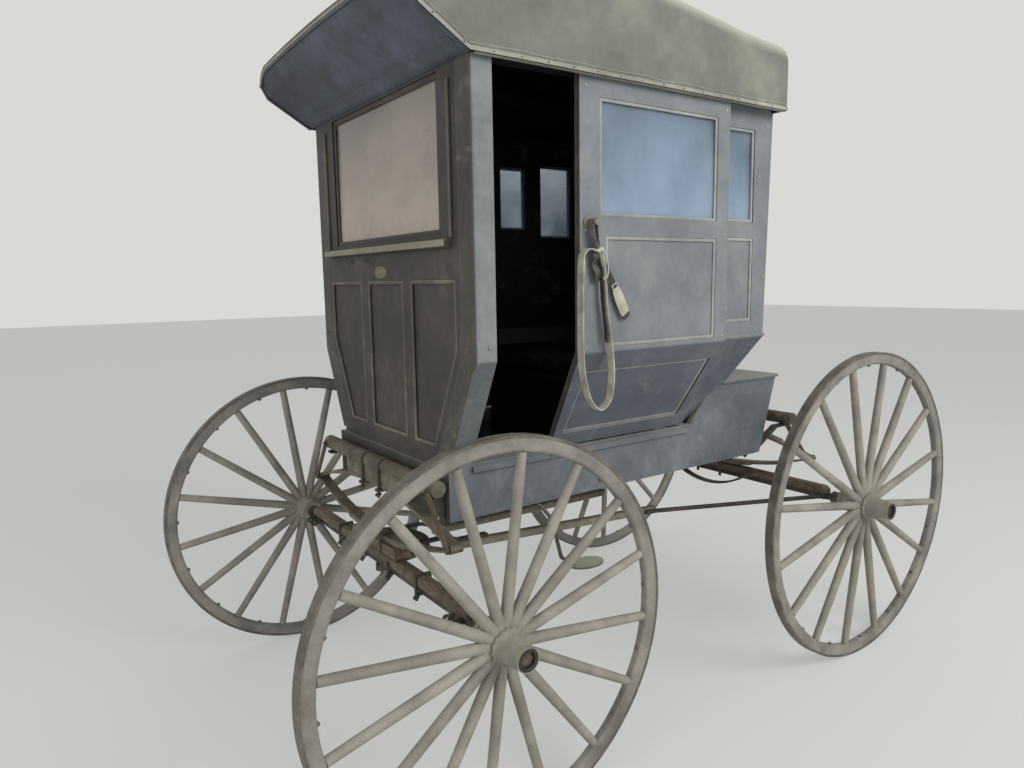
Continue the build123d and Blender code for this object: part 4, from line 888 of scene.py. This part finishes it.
class BUGGY_OT_front_trim(bpy.types.Operator):
    """Lays the mouldings, sash and bolts on the front of the cab"""

    bl_idname = "buggy.front_trim"
    bl_label = "Front trim"

    def execute(self, context):
        # half-round beads, a little wider than those of the sides
        bead = context.scene.buggy_trim.bead * 1.2
        right_field = [(-y, z) for y, z in LEFT_FIELD[::-1]]
        beads = []
        for outline in (rectangle(*MIDDLE_FIELD), LEFT_FIELD, right_field):
            corners = front_corners(shrunk(outline), FRONT_FACE - FIELD_DEEP + OFF)
            beads.append(outline_plate(corners, 9.2 * MM, bead, soft=4.5 * MM))
        settle(merged(beads), "front_field_beads", "front_bead", "buggy_body")

        # sash round the front glass and its outer stops
        corners = front_corners(shrunk(rectangle(*FRONT_LIGHT)), SASH_X)
        sash = outline_plate(corners, 7 * MM, 15 * MM, soft=2 * MM)
        settle(sash, "front_sash", "front_paint", "buggy_body")
        stop_bars = []
        for side in (1, -1):
            outline = rectangle(*sorted(side * y for y in STOP_EDGES), *STOP_ENDS)
            stop_bars.append(outline_plate(front_corners(outline, FRONT_FACE + OFF), 9 * MM, soft=4 * MM))
        settle(merged(stop_bars), "front_window_stops", "front_bead", "buggy_body")
        # rounded bead on the front of the window sill, pale with dust, wear and a painted highlight
        corners = front_corners(rectangle(*SILL_BEAD), FRONT_FACE + SILL_OUT)
        sill = outline_plate(corners, 5 * MM, soft=3.5 * MM)
        settle(sill, "front_sill_bead", "sill_bead", "buggy_body")
        # oval of bare wood where a plate came off, and over it two near-black discs of painted shade for the
        # empty fixing holes
        for name, ovals, finish in (
            ("front_bare_oval", (BARE_OVAL,), "bare_patch"),
            ("front_fixing_holes_painted_shade", FIXING_HOLES, "lining"),
        ):
            places = [front_corners(oval(*one), FRONT_FACE + OFF) for one in ovals]
            plates = [outline_plate(corners, 0.5 * MM, soft=None) for corners in places]
            settle(merged(plates), name, finish, "buggy_body")
        heads = [(spot(FRONT_FACE + 0.2, side * y, z), AHEAD) for side in (1, -1) for y, z in POST_BOLTS]
        x, y, z = POST_SIDE_BOLT
        heads += [(spot(x, side * y, z), (0, side, 0)) for side in (1, -1)]
        head = round_head(6.5 * MM, 3.6 * MM)
        settle(copies(head, heads), "post_bolts", "post_paint", "buggy_body")
        return {"FINISHED"}


# Sides: X and Z in millimetres

QUARTER_FACE = 502.0
# the beads' backs lie this far behind a panel's face: in its sunk field, and round a light
FIELD_BEAD_DEEP = 5.7
QUARTER_LIGHT_DEEP = 9.6
QUARTER_LIGHTS = ((-952, -824, 1637, 1892), (-1205, -1035, 1606, 1912))
QUARTER_FIELD = (-1207, -1038, 1268, 1553)
QUARTER_BELT = (-1284, -702, 1211, 1223)
QUARTER_BOLTS = ((-1230, 1240), (-1230, 1760), (-1268, 1420), (-1268, 1930))


def side_corners(outline, y, side=1, shift=0.0):
    """Corners on a side, in the order that turns the plate's normal outwards."""
    order = outline if side < 0 else outline[::-1]
    return [spot(x + shift, side * y, z) for x, z in order]


def light_bead(light, y, side, shift=0.0):
    """Bead round a light of a side, its back at one distance from the middle."""
    corners = side_corners(shrunk(rectangle(*light)), y, side, shift)
    return outline_plate(corners, 7 * MM, 9 * MM, soft=2 * MM)


def field_bead(corners, wide):
    """Bead round a sunk field of a side."""
    return outline_plate(corners, 5 * MM, wide, soft=2 * MM)


class BUGGY_OT_side_trim(bpy.types.Operator):
    """Lays the mouldings and bolts on the quarter panels"""

    bl_idname = "buggy.side_trim"
    bl_label = "Side trim"

    def execute(self, context):
        bead = context.scene.buggy_trim.bead
        for side, word in ((1, "left"), (-1, "right")):
            beads = [light_bead(light, QUARTER_FACE - QUARTER_LIGHT_DEEP, side) for light in QUARTER_LIGHTS]
            field = shrunk(rectangle(*QUARTER_FIELD))
            beads.append(field_bead(side_corners(field, QUARTER_FACE - FIELD_BEAD_DEEP, side), bead))
            settle(merged(beads), f"{word}_quarter_beads", "bead_paint", "buggy_body")
            # belt moulding over the break, clear of the sliding door
            corners = side_corners(rectangle(*QUARTER_BELT), QUARTER_FACE + OFF, side)
            belt = outline_plate(corners, 2.4 * MM, soft=1 * MM)
            settle(belt, f"{word}_quarter_belt", "side_paint", "buggy_body")
            # carriage bolts through the corner stile
            out = (0, side, 0)
            heads = [(spot(x, side * (QUARTER_FACE + 0.1), z), out) for x, z in QUARTER_BOLTS]
            head = round_head(5.5 * MM, 2.3 * MM, sides=10)
            settle(copies(head, heads), f"{word}_quarter_bolts", "bead_paint", "buggy_body")
        return {"FINISHED"}


# Doors: X and Z in millimetres, with the door slid back

DOOR_FACE = 532.0
DOOR_LIGHT_DEEP = 8.6
DOOR_LIGHT = (-980, -478, 1600, 1925)
DOOR_FIELD = (-980, -500, 1224, 1545)
LOWER_FIELD = [(-435, 925), (-450, 1146), (-996, 1146), (-941, 925)]
TURN_SLOPE = 0.48
# the right door is shut, so it stands this far forward of the left one
DOOR_SHUT = 282.0


def turned_under(x, deep, height):
    """Point under the break, from its depth in the door and its height up the slanting face."""
    lean = math.hypot(1, TURN_SLOPE)
    up = height - BREAK_Z
    return x, DOOR_FACE + (up * TURN_SLOPE - deep) / lean, BREAK_Z + (deep * TURN_SLOPE + up) / lean


class BUGGY_OT_door_trim(bpy.types.Operator):
    """Lays the mouldings, sashes and bolts on the sliding doors"""

    bl_idname = "buggy.door_trim"
    bl_label = "Door trim"

    def execute(self, context):
        bead = context.scene.buggy_trim.bead
        for side, word, shift in ((1, "left", 0.0), (-1, "right", DOOR_SHUT)):
            body = word + "_door"
            beads = [light_bead(DOOR_LIGHT, DOOR_FACE - DOOR_LIGHT_DEEP, side, shift)]
            field = shrunk(rectangle(*DOOR_FIELD))
            beads.append(field_bead(side_corners(field, DOOR_FACE - FIELD_BEAD_DEEP, side, shift), bead))
            lower = [turned_under(x, FIELD_BEAD_DEEP, z) for x, z in shrunk(LOWER_FIELD, 0.5)]
            lower = [spot(x + shift, side * y, z) for x, y, z in lower]
            beads.append(field_bead(lower if side > 0 else lower[::-1], bead))
            settle(merged(beads), f"{word}_door_beads", "bead_paint", body)
            # carriage bolts at the corners and rails of the door's frame
            heads = []
            for x in (-1016, -424):
                for z in (1228, 1560, 1950):
                    heads.append((spot(x + shift, side * (DOOR_FACE + 0.1), z), (0, side, 0)))
            head = round_head(5.5 * MM, 2.6 * MM, sides=10)
            settle(copies(head, heads), f"{word}_door_bolts", "bead_paint", body)
        return {"FINISHED"}


# Pull strap: X and Z in millimetres, and Y where there is a third number

STRAP_LINE = (
    (-450, 1498), (-416, 1506), (-396, 1492), (-391, 1470), (-389, 1420), (-388, 1309), (-389, 1224),
    (-393, 1167), (-404, 1117), (-421, 1074), (-454, 1045), (-481, 1056), (-497, 1078), (-504, 1113),
    (-506, 1157), (-500, 1216), (-488, 1290), (-476, 1362), (-473, 1405), (-471, 1447), (-462, 1490),
)
STRAP_TAIL = ((-462, 1492), (-478, 1474), (-494, 1452), (-508, 1432), (-521, 1410), (-530, 1394))
STRAP_INNER = ((-455, 1476), (-464, 1447), (-466, 1405), (-470, 1355), (-478, 1290), (-484, 1240))
STRAP_RAG = ((-442, 1506, 548), (-449, 1486, 556), (-446, 1464, 546), (-455, 1440, 553), (-459, 1416, 546))
HANGER_TOP = ((-425.5, 1578), (-427.5, 1586), (-433.2, 1589.5), (-439, 1586), (-441, 1578))
WIRE_RING = (
    (-446, 1515, 561), (-455, 1502, 570), (-468, 1488, 570), (-476, 1462, 569), (-478, 1436, 566),
    (-473, 1420, 560), (-466, 1432, 556), (-464, 1462, 556), (-458, 1488, 557), (-449, 1504, 557),
)
KEEPER_LINE = ((-462, 1506), (-440, 1501))
STRAP_MIDDLE = 551.5
WIRE_R = 1.7 * MM
# the tail hangs down and to the rear: which way its width lies, and the two ends of the tab on it
TAIL_ACROSS = Vector((0.85, 0, -0.53))
TAB_TOP, TAB_FOOT = (-529, 0, 1398), (-577, 0, 1308)
TAB_SHAPE = ((0, 9), (0.1, 15), (0.35, 18), (0.7, 19), (0.88, 16), (1, 9))
TIP_SHAPE = ((0.87, 16.8), (1.02, 9.6))
BUCKLE_AT = (-527, 0, 1400)
BUCKLE_HALF = (12, 8)


def strap_points(line, y=STRAP_MIDDLE, steps=5):
    return smooth_through([spot(x, y, z) for x, z in line], steps)


def bent_points(line, steps):
    return smooth_through([spot(x, y, z) for x, z, y in line], steps)


def tab_plate(shape, y, thick, soft):
    """Flat plate along the tail's end, its half width in millimetres given at shares of its length."""
    top, foot = spot(*TAB_TOP), spot(*TAB_FOOT)
    ring = [top.lerp(foot, share) + TAIL_ACROSS * half * MM for share, half in shape]
    ring += [top.lerp(foot, share) - TAIL_ACROSS * half * MM for share, half in shape[::-1]]
    return outline_plate([(point.x, y * MM, point.z) for point in ring], thick, soft=soft)


def wire_ring():
    """Ring of wire along WIRE_RING."""
    sides = 8
    points = bent_points(WIRE_RING + WIRE_RING[:1], 5)[:-1]
    count = len(points)
    middle = sum(points, Vector()) / count

    def place(step, side):
        ahead = (points[(step + 1) % count] - points[step - 1]).normalized()
        outward = points[step] - middle
        outward = (outward - ahead * outward.dot(ahead)).normalized()
        turn = 2 * math.pi * side / sides
        return points[step] + (outward * math.cos(turn) + ahead.cross(outward) * math.sin(turn)) * WIRE_R

    return ring_tube(count, sides, place)


class BUGGY_OT_strap(bpy.types.Operator):
    """Hangs the pull strap with its hanger, tail, buckle and wire ring on the door's hook"""

    bl_idname = "buggy.strap"
    bl_label = "Pull strap"

    def execute(self, context):
        def hang(piece, name, finish, smooth=40.0):
            return settle(piece, "pull_strap_" + name, finish, "left_door", smooth)

        loop = hang(strip_along(strap_points(STRAP_LINE), 28 * MM, 3 * MM), "loop", "strap")
        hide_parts("left_door_strap")
        # dark tail that hangs flat against the door, with the buckle and a wide cream tab at its end
        points = strap_points(STRAP_TAIL, y=541, steps=4)
        hang(strip_along(points, 17 * MM, 2.6 * MM, across=TAIL_ACROSS), "tail", "dark_strap")
        hang(tab_plate(TAB_SHAPE, 537.5, 4.5 * MM, 1.5 * MM), "tab", "strap", smooth=35.0)
        # the tab's end is worn through to the dark leather
        hang(tab_plate(TIP_SHAPE, 537.1, 5.3 * MM, 1.2 * MM), "tip", "dark_strap", smooth=35.0)
        # the grey doubled strap round the peg
        hanger = []
        for x in (-425.5, -441.0):
            line = ((x, 1578), ((x * 3 - 450) / 4, 1540), (-448 + (x + 433) * 0.35, 1505))
            hanger.append(strip_along(strap_points(line), 30 * MM, 3 * MM))
        hanger.append(strip_along(strap_points(HANGER_TOP, steps=3), 30 * MM, 3 * MM))
        hang(merged(hanger), "hanger", "grey_strap")
        # dark inner strap that hangs along the loop, and its torn end
        points = strap_points(STRAP_INNER, y=553, steps=4)
        hang(strip_along(points, 13 * MM, 2.4 * MM), "inner", "dark_strap")
        rag = strip_along(bent_points(STRAP_RAG, 4), 27 * MM, 3 * MM, across=(1, 0, -0.2))
        hang(rag, "torn_end", "dark_strap")
        # square buckle frame
        along = (spot(*TAB_FOOT) - spot(*TAB_TOP)).normalized()
        wide, tall = BUCKLE_HALF
        square = [(wide, tall), (-wide, tall), (-wide, -tall), (wide, -tall)]
        corners = [spot(*BUCKLE_AT) + TAIL_ACROSS * a * MM - along * b * MM for a, b in square]
        corners = [(point.x, 543.5 * MM, point.z) for point in corners]
        buckle = outline_plate(corners, 2.4 * MM, 2.6 * MM, soft=0.8 * MM)
        hang(buckle, "buckle", "wire", smooth=35.0)
        # ring of near-white wire, its pale colour zinc and partly a painted highlight, that ties loop, tail
        # and hanger together
        hang(wire_ring(), "wire_ring", "wire", smooth=80.0)
        points = [spot(x, STRAP_MIDDLE, z) for x, z in KEEPER_LINE]
        hang(strip_along(points, 33 * MM, 10 * MM, soft=2 * MM), "keeper", "strap", smooth=35.0)
        return {"FINISHED"}


# Bench


def blow_up(pad, pressure, cap):
    """Swells a mesh by cloth simulation, each point by no more than the cap."""
    before = [vertex.co.copy() for vertex in pad.data.vertices]
    cloth = pad.modifiers.new("Cloth", "CLOTH")
    cloth.settings.use_pressure = True
    cloth.settings.uniform_pressure_force = pressure
    cloth.settings.effector_weights.gravity = 0
    cloth.settings.quality = 4
    scene = bpy.context.scene
    for step in range(1, 21):
        scene.frame_set(step)
    select_only(pad)
    bpy.ops.object.modifier_apply(modifier="Cloth")
    scene.frame_set(1)
    for vertex, old in zip(pad.data.vertices, before):
        move = vertex.co - old
        if move.length > cap:
            vertex.co = old + move * (cap / move.length)


def stuffed(name, node, inset, cap, pressure):
    """Leather cushion blown up by cloth simulation inside the room of its plain solid."""
    low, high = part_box(node)
    middle, size = (low + high) / 2, high - low
    pad = bpy.data.objects.new(name, NODES[node].data.copy())
    bpy.context.scene.collection.objects.link(pad)
    edit_all(pad, (bpy.ops.mesh.remove_doubles, {"threshold": 0.05 * MM}))
    for vertex in pad.data.vertices:
        for axis in range(3):
            share = 1 - 2 * inset[axis] * MM / size[axis]
            vertex.co[axis] = middle[axis] + (vertex.co[axis] - middle[axis]) * share
    finish_modifier(pad, "REMESH", mode="VOXEL", voxel_size=9 * MM)
    blow_up(pad, pressure, cap)
    for vertex in pad.data.vertices:
        for axis in range(3):
            vertex.co[axis] = min(max(vertex.co[axis], low[axis] + 0.4 * MM), high[axis] - 0.4 * MM)
    finish_modifier(pad, "SUBSURF", levels=1, render_levels=1)
    settle(pad, name, "leather", "buggy_body", smooth=60)
    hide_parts(node)
    return pad


class BUGGY_OT_bench(bpy.types.Operator):
    """Stuffs the bench's leather cushion and back"""

    bl_idname = "buggy.bench"
    bl_label = "Bench"

    def execute(self, context):
        pressure = context.scene.buggy_trim.pressure
        stuffed("bench_cushion", "seat_cushion", (10, 10, 11), 14 * MM, pressure)
        back = stuffed("bench_back", "seat_back", (9, 10, 10), 12 * MM, pressure)
        # covered buttons in two rows on the back
        places = []
        for z in (1290, 1430):
            for y in (-280, -140, 0, 140, 280):
                found, place, normal, _ = back.ray_cast(spot(-700, y, z), Vector((-1, 0, 0)))
                if found:
                    places.append((place - normal * 1.5 * MM, normal))
        buttons = copies(round_head(9 * MM, 5 * MM), places)
        settle(buttons, "bench_back_buttons", "leather", "buggy_body", smooth=60)
        return {"FINISHED"}


# Bolts and nuts of the running gear: heights in millimetres

# where each spring's eyes lie, and what is measured up from them
SPRING_EYES = ((FRONT_X, 705.5), (REAR_X, 706.5))
CLIP_FOOT_RISE = 61.7
SPRING_BAR_RISE = 145.0
# legs of a clip on each side of its middle, and the bolt at the upper end of a check link
SPRING_CLIP_LEG, AXLE_CLIP_LEG = 27.5, 23.8
LINK_BOLT_X, LINK_BOLT_Y = 29.4, 378.0
# feet of the front axle's clips, and the underside of the box's floor with its iron plates
AXLE_CLIP_FOOT = 508.0
PLATE_UNDER = 736.4
PLATE_BOLTS = (-70, -170, -260, -1215, -1300, -1390)


class BUGGY_OT_gear_bolts(bpy.types.Operator):
    """Fits nuts and bolt heads to clips, body irons and check links"""

    bl_idname = "buggy.gear_bolts"
    bl_label = "Gear bolts"

    def execute(self, context):
        body_nuts, turning_nuts, heads = [], [], []
        for axle, eye in SPRING_EYES:
            # legs of the upper spring clips under their plates
            for y in (-62, 62):
                for x in (-SPRING_CLIP_LEG, SPRING_CLIP_LEG):
                    body_nuts.append(((axle + x * MM, y * MM, (eye + CLIP_FOOT_RISE) * MM), DOWN))
            # heads at the upper ends of the check links
            for y in (LINK_BOLT_Y, -LINK_BOLT_Y):
                heads.append(((axle + LINK_BOLT_X * MM, y * MM, (eye + SPRING_BAR_RISE) * MM), AHEAD))
        # plates of the body irons, through the box's floor
        for x in PLATE_BOLTS:
            for y in (-356, 356):
                body_nuts.append((spot(x, y, PLATE_UNDER), DOWN))
        # clips of the front axle, under the bed
        for y in (-290, -100, 100, 290):
            for x in (-AXLE_CLIP_LEG, AXLE_CLIP_LEG):
                turning_nuts.append((spot(x, y, AXLE_CLIP_FOOT), DOWN))
        for name, nuts, body in (
            ("body_and_spring_nuts", body_nuts, "buggy_body"),
            ("fore_carriage_nuts", turning_nuts, "fore_carriage"),
        ):
            settle(copies(bolt_end(8 * MM, 8 * MM, 6 * MM), nuts), name, "iron", body)
        bolts = copies(round_head(8 * MM, 5 * MM), heads)
        settle(bolts, "check_link_bolts", "iron", "buggy_body")
        return {"FINISHED"}


# Wheels: side of the buggy, radius in metres, and the first spoke's angle in degrees
WHEELS = (
    ("front_left_wheel", 1, 0.528, 7.5),
    ("front_right_wheel", -1, 0.528, 14.8),
    ("rear_left_wheel", 1, 0.5715, 9.3),
    ("rear_right_wheel", -1, 0.5715, 1.6),
)
SPOKES = 16
FELLOE_IN = 44.0
# nave flange: radius of its ring and of its roll, its width, and how deep its scallops are
FLANGE_R, FLANGE_ROLL, FLANGE_WIDE, SCALLOP = 46 * MM, 3.4 * MM, 1.3, 0.035
FLANGE_OUT = 21.5
RIVET_RING, RIVET_OUT = 41.0, 26.2
# the sleeve in the nave's nose: its radius, its length and how deep its middle lies
SLEEVE_R, SLEEVE_LONG, SLEEVE_DEEP = 21.6, 22.5, 12.2


def nave_flange(middle, phase):
    """Scalloped ring round a nave, its lobes between the spokes' feet."""
    steps, sides = 96, 8

    def place(step, side):
        turn, roll = 2 * math.pi * step / steps, 2 * math.pi * side / sides
        lobe = 1 + SCALLOP * math.cos(SPOKES * (turn - math.radians(phase + 180 / SPOKES)))
        reach = (FLANGE_R + FLANGE_ROLL * math.cos(roll)) * lobe
        out = FLANGE_ROLL * FLANGE_WIDE * math.sin(roll)
        return middle + Vector((reach * math.cos(turn), out, reach * math.sin(turn)))

    return ring_tube(steps, sides, place)


class BUGGY_OT_wheel_bolts(bpy.types.Operator):
    """Fits the tyre bolts and the flanges, rivets and sleeve of each nave"""

    bl_idname = "buggy.wheel_bolts"
    bl_label = "Wheel bolts"

    def execute(self, context):
        for wheel, side, radius, phase in WHEELS:
            axle = FRONT_X if wheel.startswith("front") else REAR_X
            middle = Vector((axle, side * HUB_Y, radius))
            nuts, rivets = [], []
            for i in range(SPOKES):
                turn = math.radians(phase + (i + 0.5) * 360 / SPOKES)
                out = Vector((math.cos(turn), 0, math.sin(turn)))
                nuts.append((middle + out * (radius - (FELLOE_IN - 0.2) * MM), -out))
                for face in (-1, 1):
                    foot = middle + out * RIVET_RING * MM + Vector((0, face * RIVET_OUT * MM, 0))
                    rivets.append((foot, (0, face, 0)))
            nut = bolt_end(5.5 * MM, 5 * MM, 3 * MM)
            settle(copies(nut, nuts), f"{wheel}_tyre_bolts", "tyre_iron", wheel)
            rivet = round_head(3.6 * MM, 3 * MM, sides=8)
            settle(copies(rivet, rivets), f"{wheel}_nave_rivets", "band_iron", wheel)
            # scalloped flange in front of the spokes' feet and behind them
            places = [middle + Vector((0, y * MM, 0)) for y in (-FLANGE_OUT, FLANGE_OUT)]
            rings = [nave_flange(place, phase) for place in places]
            settle(merged(rings), f"{wheel}_nave_flanges", "band_iron", wheel, smooth=60)
            # near-black sleeve in the nose, round the axle's nut: grease and painted shade of the recess
            clear_selection()
            bpy.ops.mesh.primitive_cylinder_add(
                vertices=48,
                radius=SLEEVE_R * MM,
                depth=SLEEVE_LONG * MM,
                end_fill_type="NOTHING",
                location=middle + Vector((0, side * (NAVE_OUT - SLEEVE_DEEP) * MM, 0)),
                rotation=(math.pi / 2, 0, 0),
            )
            sleeve = context.object
            finish_modifier(sleeve, "SOLIDIFY", thickness=1.6 * MM, offset=-1.0)
            settle(sleeve, f"{wheel}_nose_sleeve", "lining", wheel, smooth=40)
        return {"FINISHED"}


# Stage


class BuggyStage(bpy.types.PropertyGroup):
    """Sizes and colours of the floor, lamps and camera"""

    floor_colour: bpy.props.FloatVectorProperty(
        name="Floor colour",
        description="Colour of the plain floor",
        size=3,
        subtype="COLOR",
        default=(0.72, 0.72, 0.7),
    )
    key_power: bpy.props.FloatProperty(
        name="Key power", description="Power of the large soft lamp", default=285.0, unit="POWER"
    )
    fill_power: bpy.props.FloatProperty(
        name="Fill power", description="Power of the soft lamp in front", default=85.0, unit="POWER"
    )
    lens: bpy.props.FloatProperty(
        name="Lens", description="Focal length of the camera", default=25.853, min=10.0, unit="CAMERA"
    )


# Camera fitted to the wheel rims of the photograph: metres from under the front axle, then degrees
CAMERA_AT = (0.959, 2.1409, 1.4226)
CAMERA_HEADING, CAMERA_PITCH, CAMERA_ROLL = 235.1155, -8.029, -0.9315

# lamps: place, the point that they aim at, and width, in metres
KEY_LAMP = ((-1.5, 6.0, 4.6), (0, 0, 1.0), 4.0)
FILL_LAMP = ((6.0, 2.5, 2.6), (0.5, 0, 0.9), 3.5)
KEY_COLOUR = (1.0, 0.99, 0.97)

BACKGROUND = "d9d9d6"
FLOOR_GLOW = 0.45


def background_rays(tree):
    """1 for the rays that show the plain background: the camera's, and those off metal and through glass."""
    rays = add(tree, "LightPath").outputs
    shiny = {0: rays["Is Glossy Ray"], 1: rays["Is Transmission Ray"]}
    shiny = add(tree, "Math", shiny, operation="MAXIMUM")
    return add(tree, "Math", {0: rays["Is Camera Ray"], 1: shiny}, operation="MAXIMUM")


def lay_floor(colour):
    """Plain pale floor that partly glows to the camera, and keeps the shadow."""
    bpy.ops.object.select_all(action="DESELECT")
    bpy.ops.mesh.primitive_plane_add(size=60.0, location=(0, 0, 0))
    floor = bpy.context.object
    floor.name = "floor"
    material, tree = blank_material("floor_plain_pale")
    ground = add(tree, "BsdfPrincipled", {"Base Color": (*colour, 1), "Roughness": 0.8})
    glow = add(tree, "Emission", {"Color": linear(BACKGROUND), "Strength": 1.0})
    share = add(tree, "Math", {0: background_rays(tree), 1: FLOOR_GLOW}, operation="MULTIPLY")
    seen = add(tree, "MixShader", {0: share, 1: ground, 2: glow})
    add(tree, "OutputMaterial", {"Surface": seen})
    floor.data.materials.append(material)


def light_world():
    """Soft light from all round, and a plain background where rays see it."""
    world = bpy.data.worlds.new("studio")
    bpy.context.scene.world = world
    world.use_nodes = True
    tree = world.node_tree
    tree.nodes.clear()
    soft = add(tree, "Background", {"Color": linear("ecebe9"), "Strength": 0.55})
    seen = add(tree, "Background", {"Color": linear(BACKGROUND), "Strength": 1.0})
    mixed = add(tree, "MixShader", {0: background_rays(tree), 1: soft, 2: seen})
    add(tree, "OutputWorld", {"Surface": mixed})


def area_lamp(name, place, target, size, power, colour=(1, 1, 1)):
    data = bpy.data.lights.new(name, "AREA")
    data.shape = "DISK"
    data.size = size
    data.energy = power
    data.color = colour
    lamp = bpy.data.objects.new(name, data)
    bpy.context.scene.collection.objects.link(lamp)
    lamp.location = place
    lamp.rotation_euler = (Vector(target) - Vector(place)).to_track_quat("-Z", "Y").to_euler()


def set_camera(lens):
    """Camera at the photograph's place and angle."""
    data = bpy.data.cameras.new("camera")
    data.lens = lens
    data.sensor_width = 36.0
    data.clip_start = 0.05
    data.clip_end = 200.0
    camera = bpy.data.objects.new("camera", data)
    bpy.context.scene.collection.objects.link(camera)
    heading, pitch, roll = (math.radians(turn) for turn in (CAMERA_HEADING, CAMERA_PITCH, CAMERA_ROLL))
    level = Vector((math.cos(heading), math.sin(heading), 0))
    forward = level * math.cos(pitch) + Vector((0, 0, math.sin(pitch)))
    right = Vector((math.sin(heading), -math.cos(heading), 0))
    above = right.cross(forward)
    right_rolled = math.cos(roll) * right + math.sin(roll) * above
    above_rolled = -math.sin(roll) * right + math.cos(roll) * above
    turn = Matrix((right_rolled, above_rolled, -forward)).transposed().to_4x4()
    camera.matrix_world = Matrix.Translation(Vector(CAMERA_AT) + Vector((FRONT_X, 0, 0))) @ turn
    bpy.context.scene.camera = camera


class BUGGY_OT_stage(bpy.types.Operator):
    """Sets the floor, the soft light and the camera"""

    bl_idname = "buggy.stage"
    bl_label = "Stage"

    def execute(self, context):
        values = context.scene.buggy_stage
        lay_floor(values.floor_colour)
        light_world()
        area_lamp("key", *KEY_LAMP, values.key_power, KEY_COLOUR)
        area_lamp("fill", *FILL_LAMP, values.fill_power)
        set_camera(values.lens)
        context.scene.view_settings.view_transform = "Standard"
        return {"FINISHED"}


class BUGGY_PT_panel(bpy.types.Panel):
    """Lists the steps that dress the buggy"""

    bl_idname = "BUGGY_PT_panel"
    bl_label = "Doctor's Buggy"
    bl_space_type = "VIEW_3D"
    bl_region_type = "UI"
    bl_category = "Buggy"

    def draw(self, context):
        for step in STEPS:
            self.layout.operator(step.bl_idname)


# in the order in which they are called
STEPS = (
    BUGGY_OT_finishes,
    BUGGY_OT_roof,
    BUGGY_OT_visor,
    BUGGY_OT_front_trim,
    BUGGY_OT_side_trim,
    BUGGY_OT_door_trim,
    BUGGY_OT_strap,
    BUGGY_OT_bench,
    BUGGY_OT_gear_bolts,
    BUGGY_OT_wheel_bolts,
    BUGGY_OT_stage,
)
CLASSES = (BuggyTrim, BuggyStage, *STEPS, BUGGY_PT_panel)
GROUPS = (("buggy_trim", BuggyTrim), ("buggy_stage", BuggyStage))


def register():
    for one in CLASSES:
        bpy.utils.register_class(one)
    for name, group in GROUPS:
        setattr(bpy.types.Scene, name, bpy.props.PointerProperty(type=group))


def unregister():
    for name, _ in GROUPS:
        delattr(bpy.types.Scene, name)
    for one in reversed(CLASSES):
        bpy.utils.unregister_class(one)


def main():
    register()
    for step in STEPS:
        family, call = step.bl_idname.split(".")
        getattr(getattr(bpy.ops, family), call)()


if __name__ == "__main__":
    main()
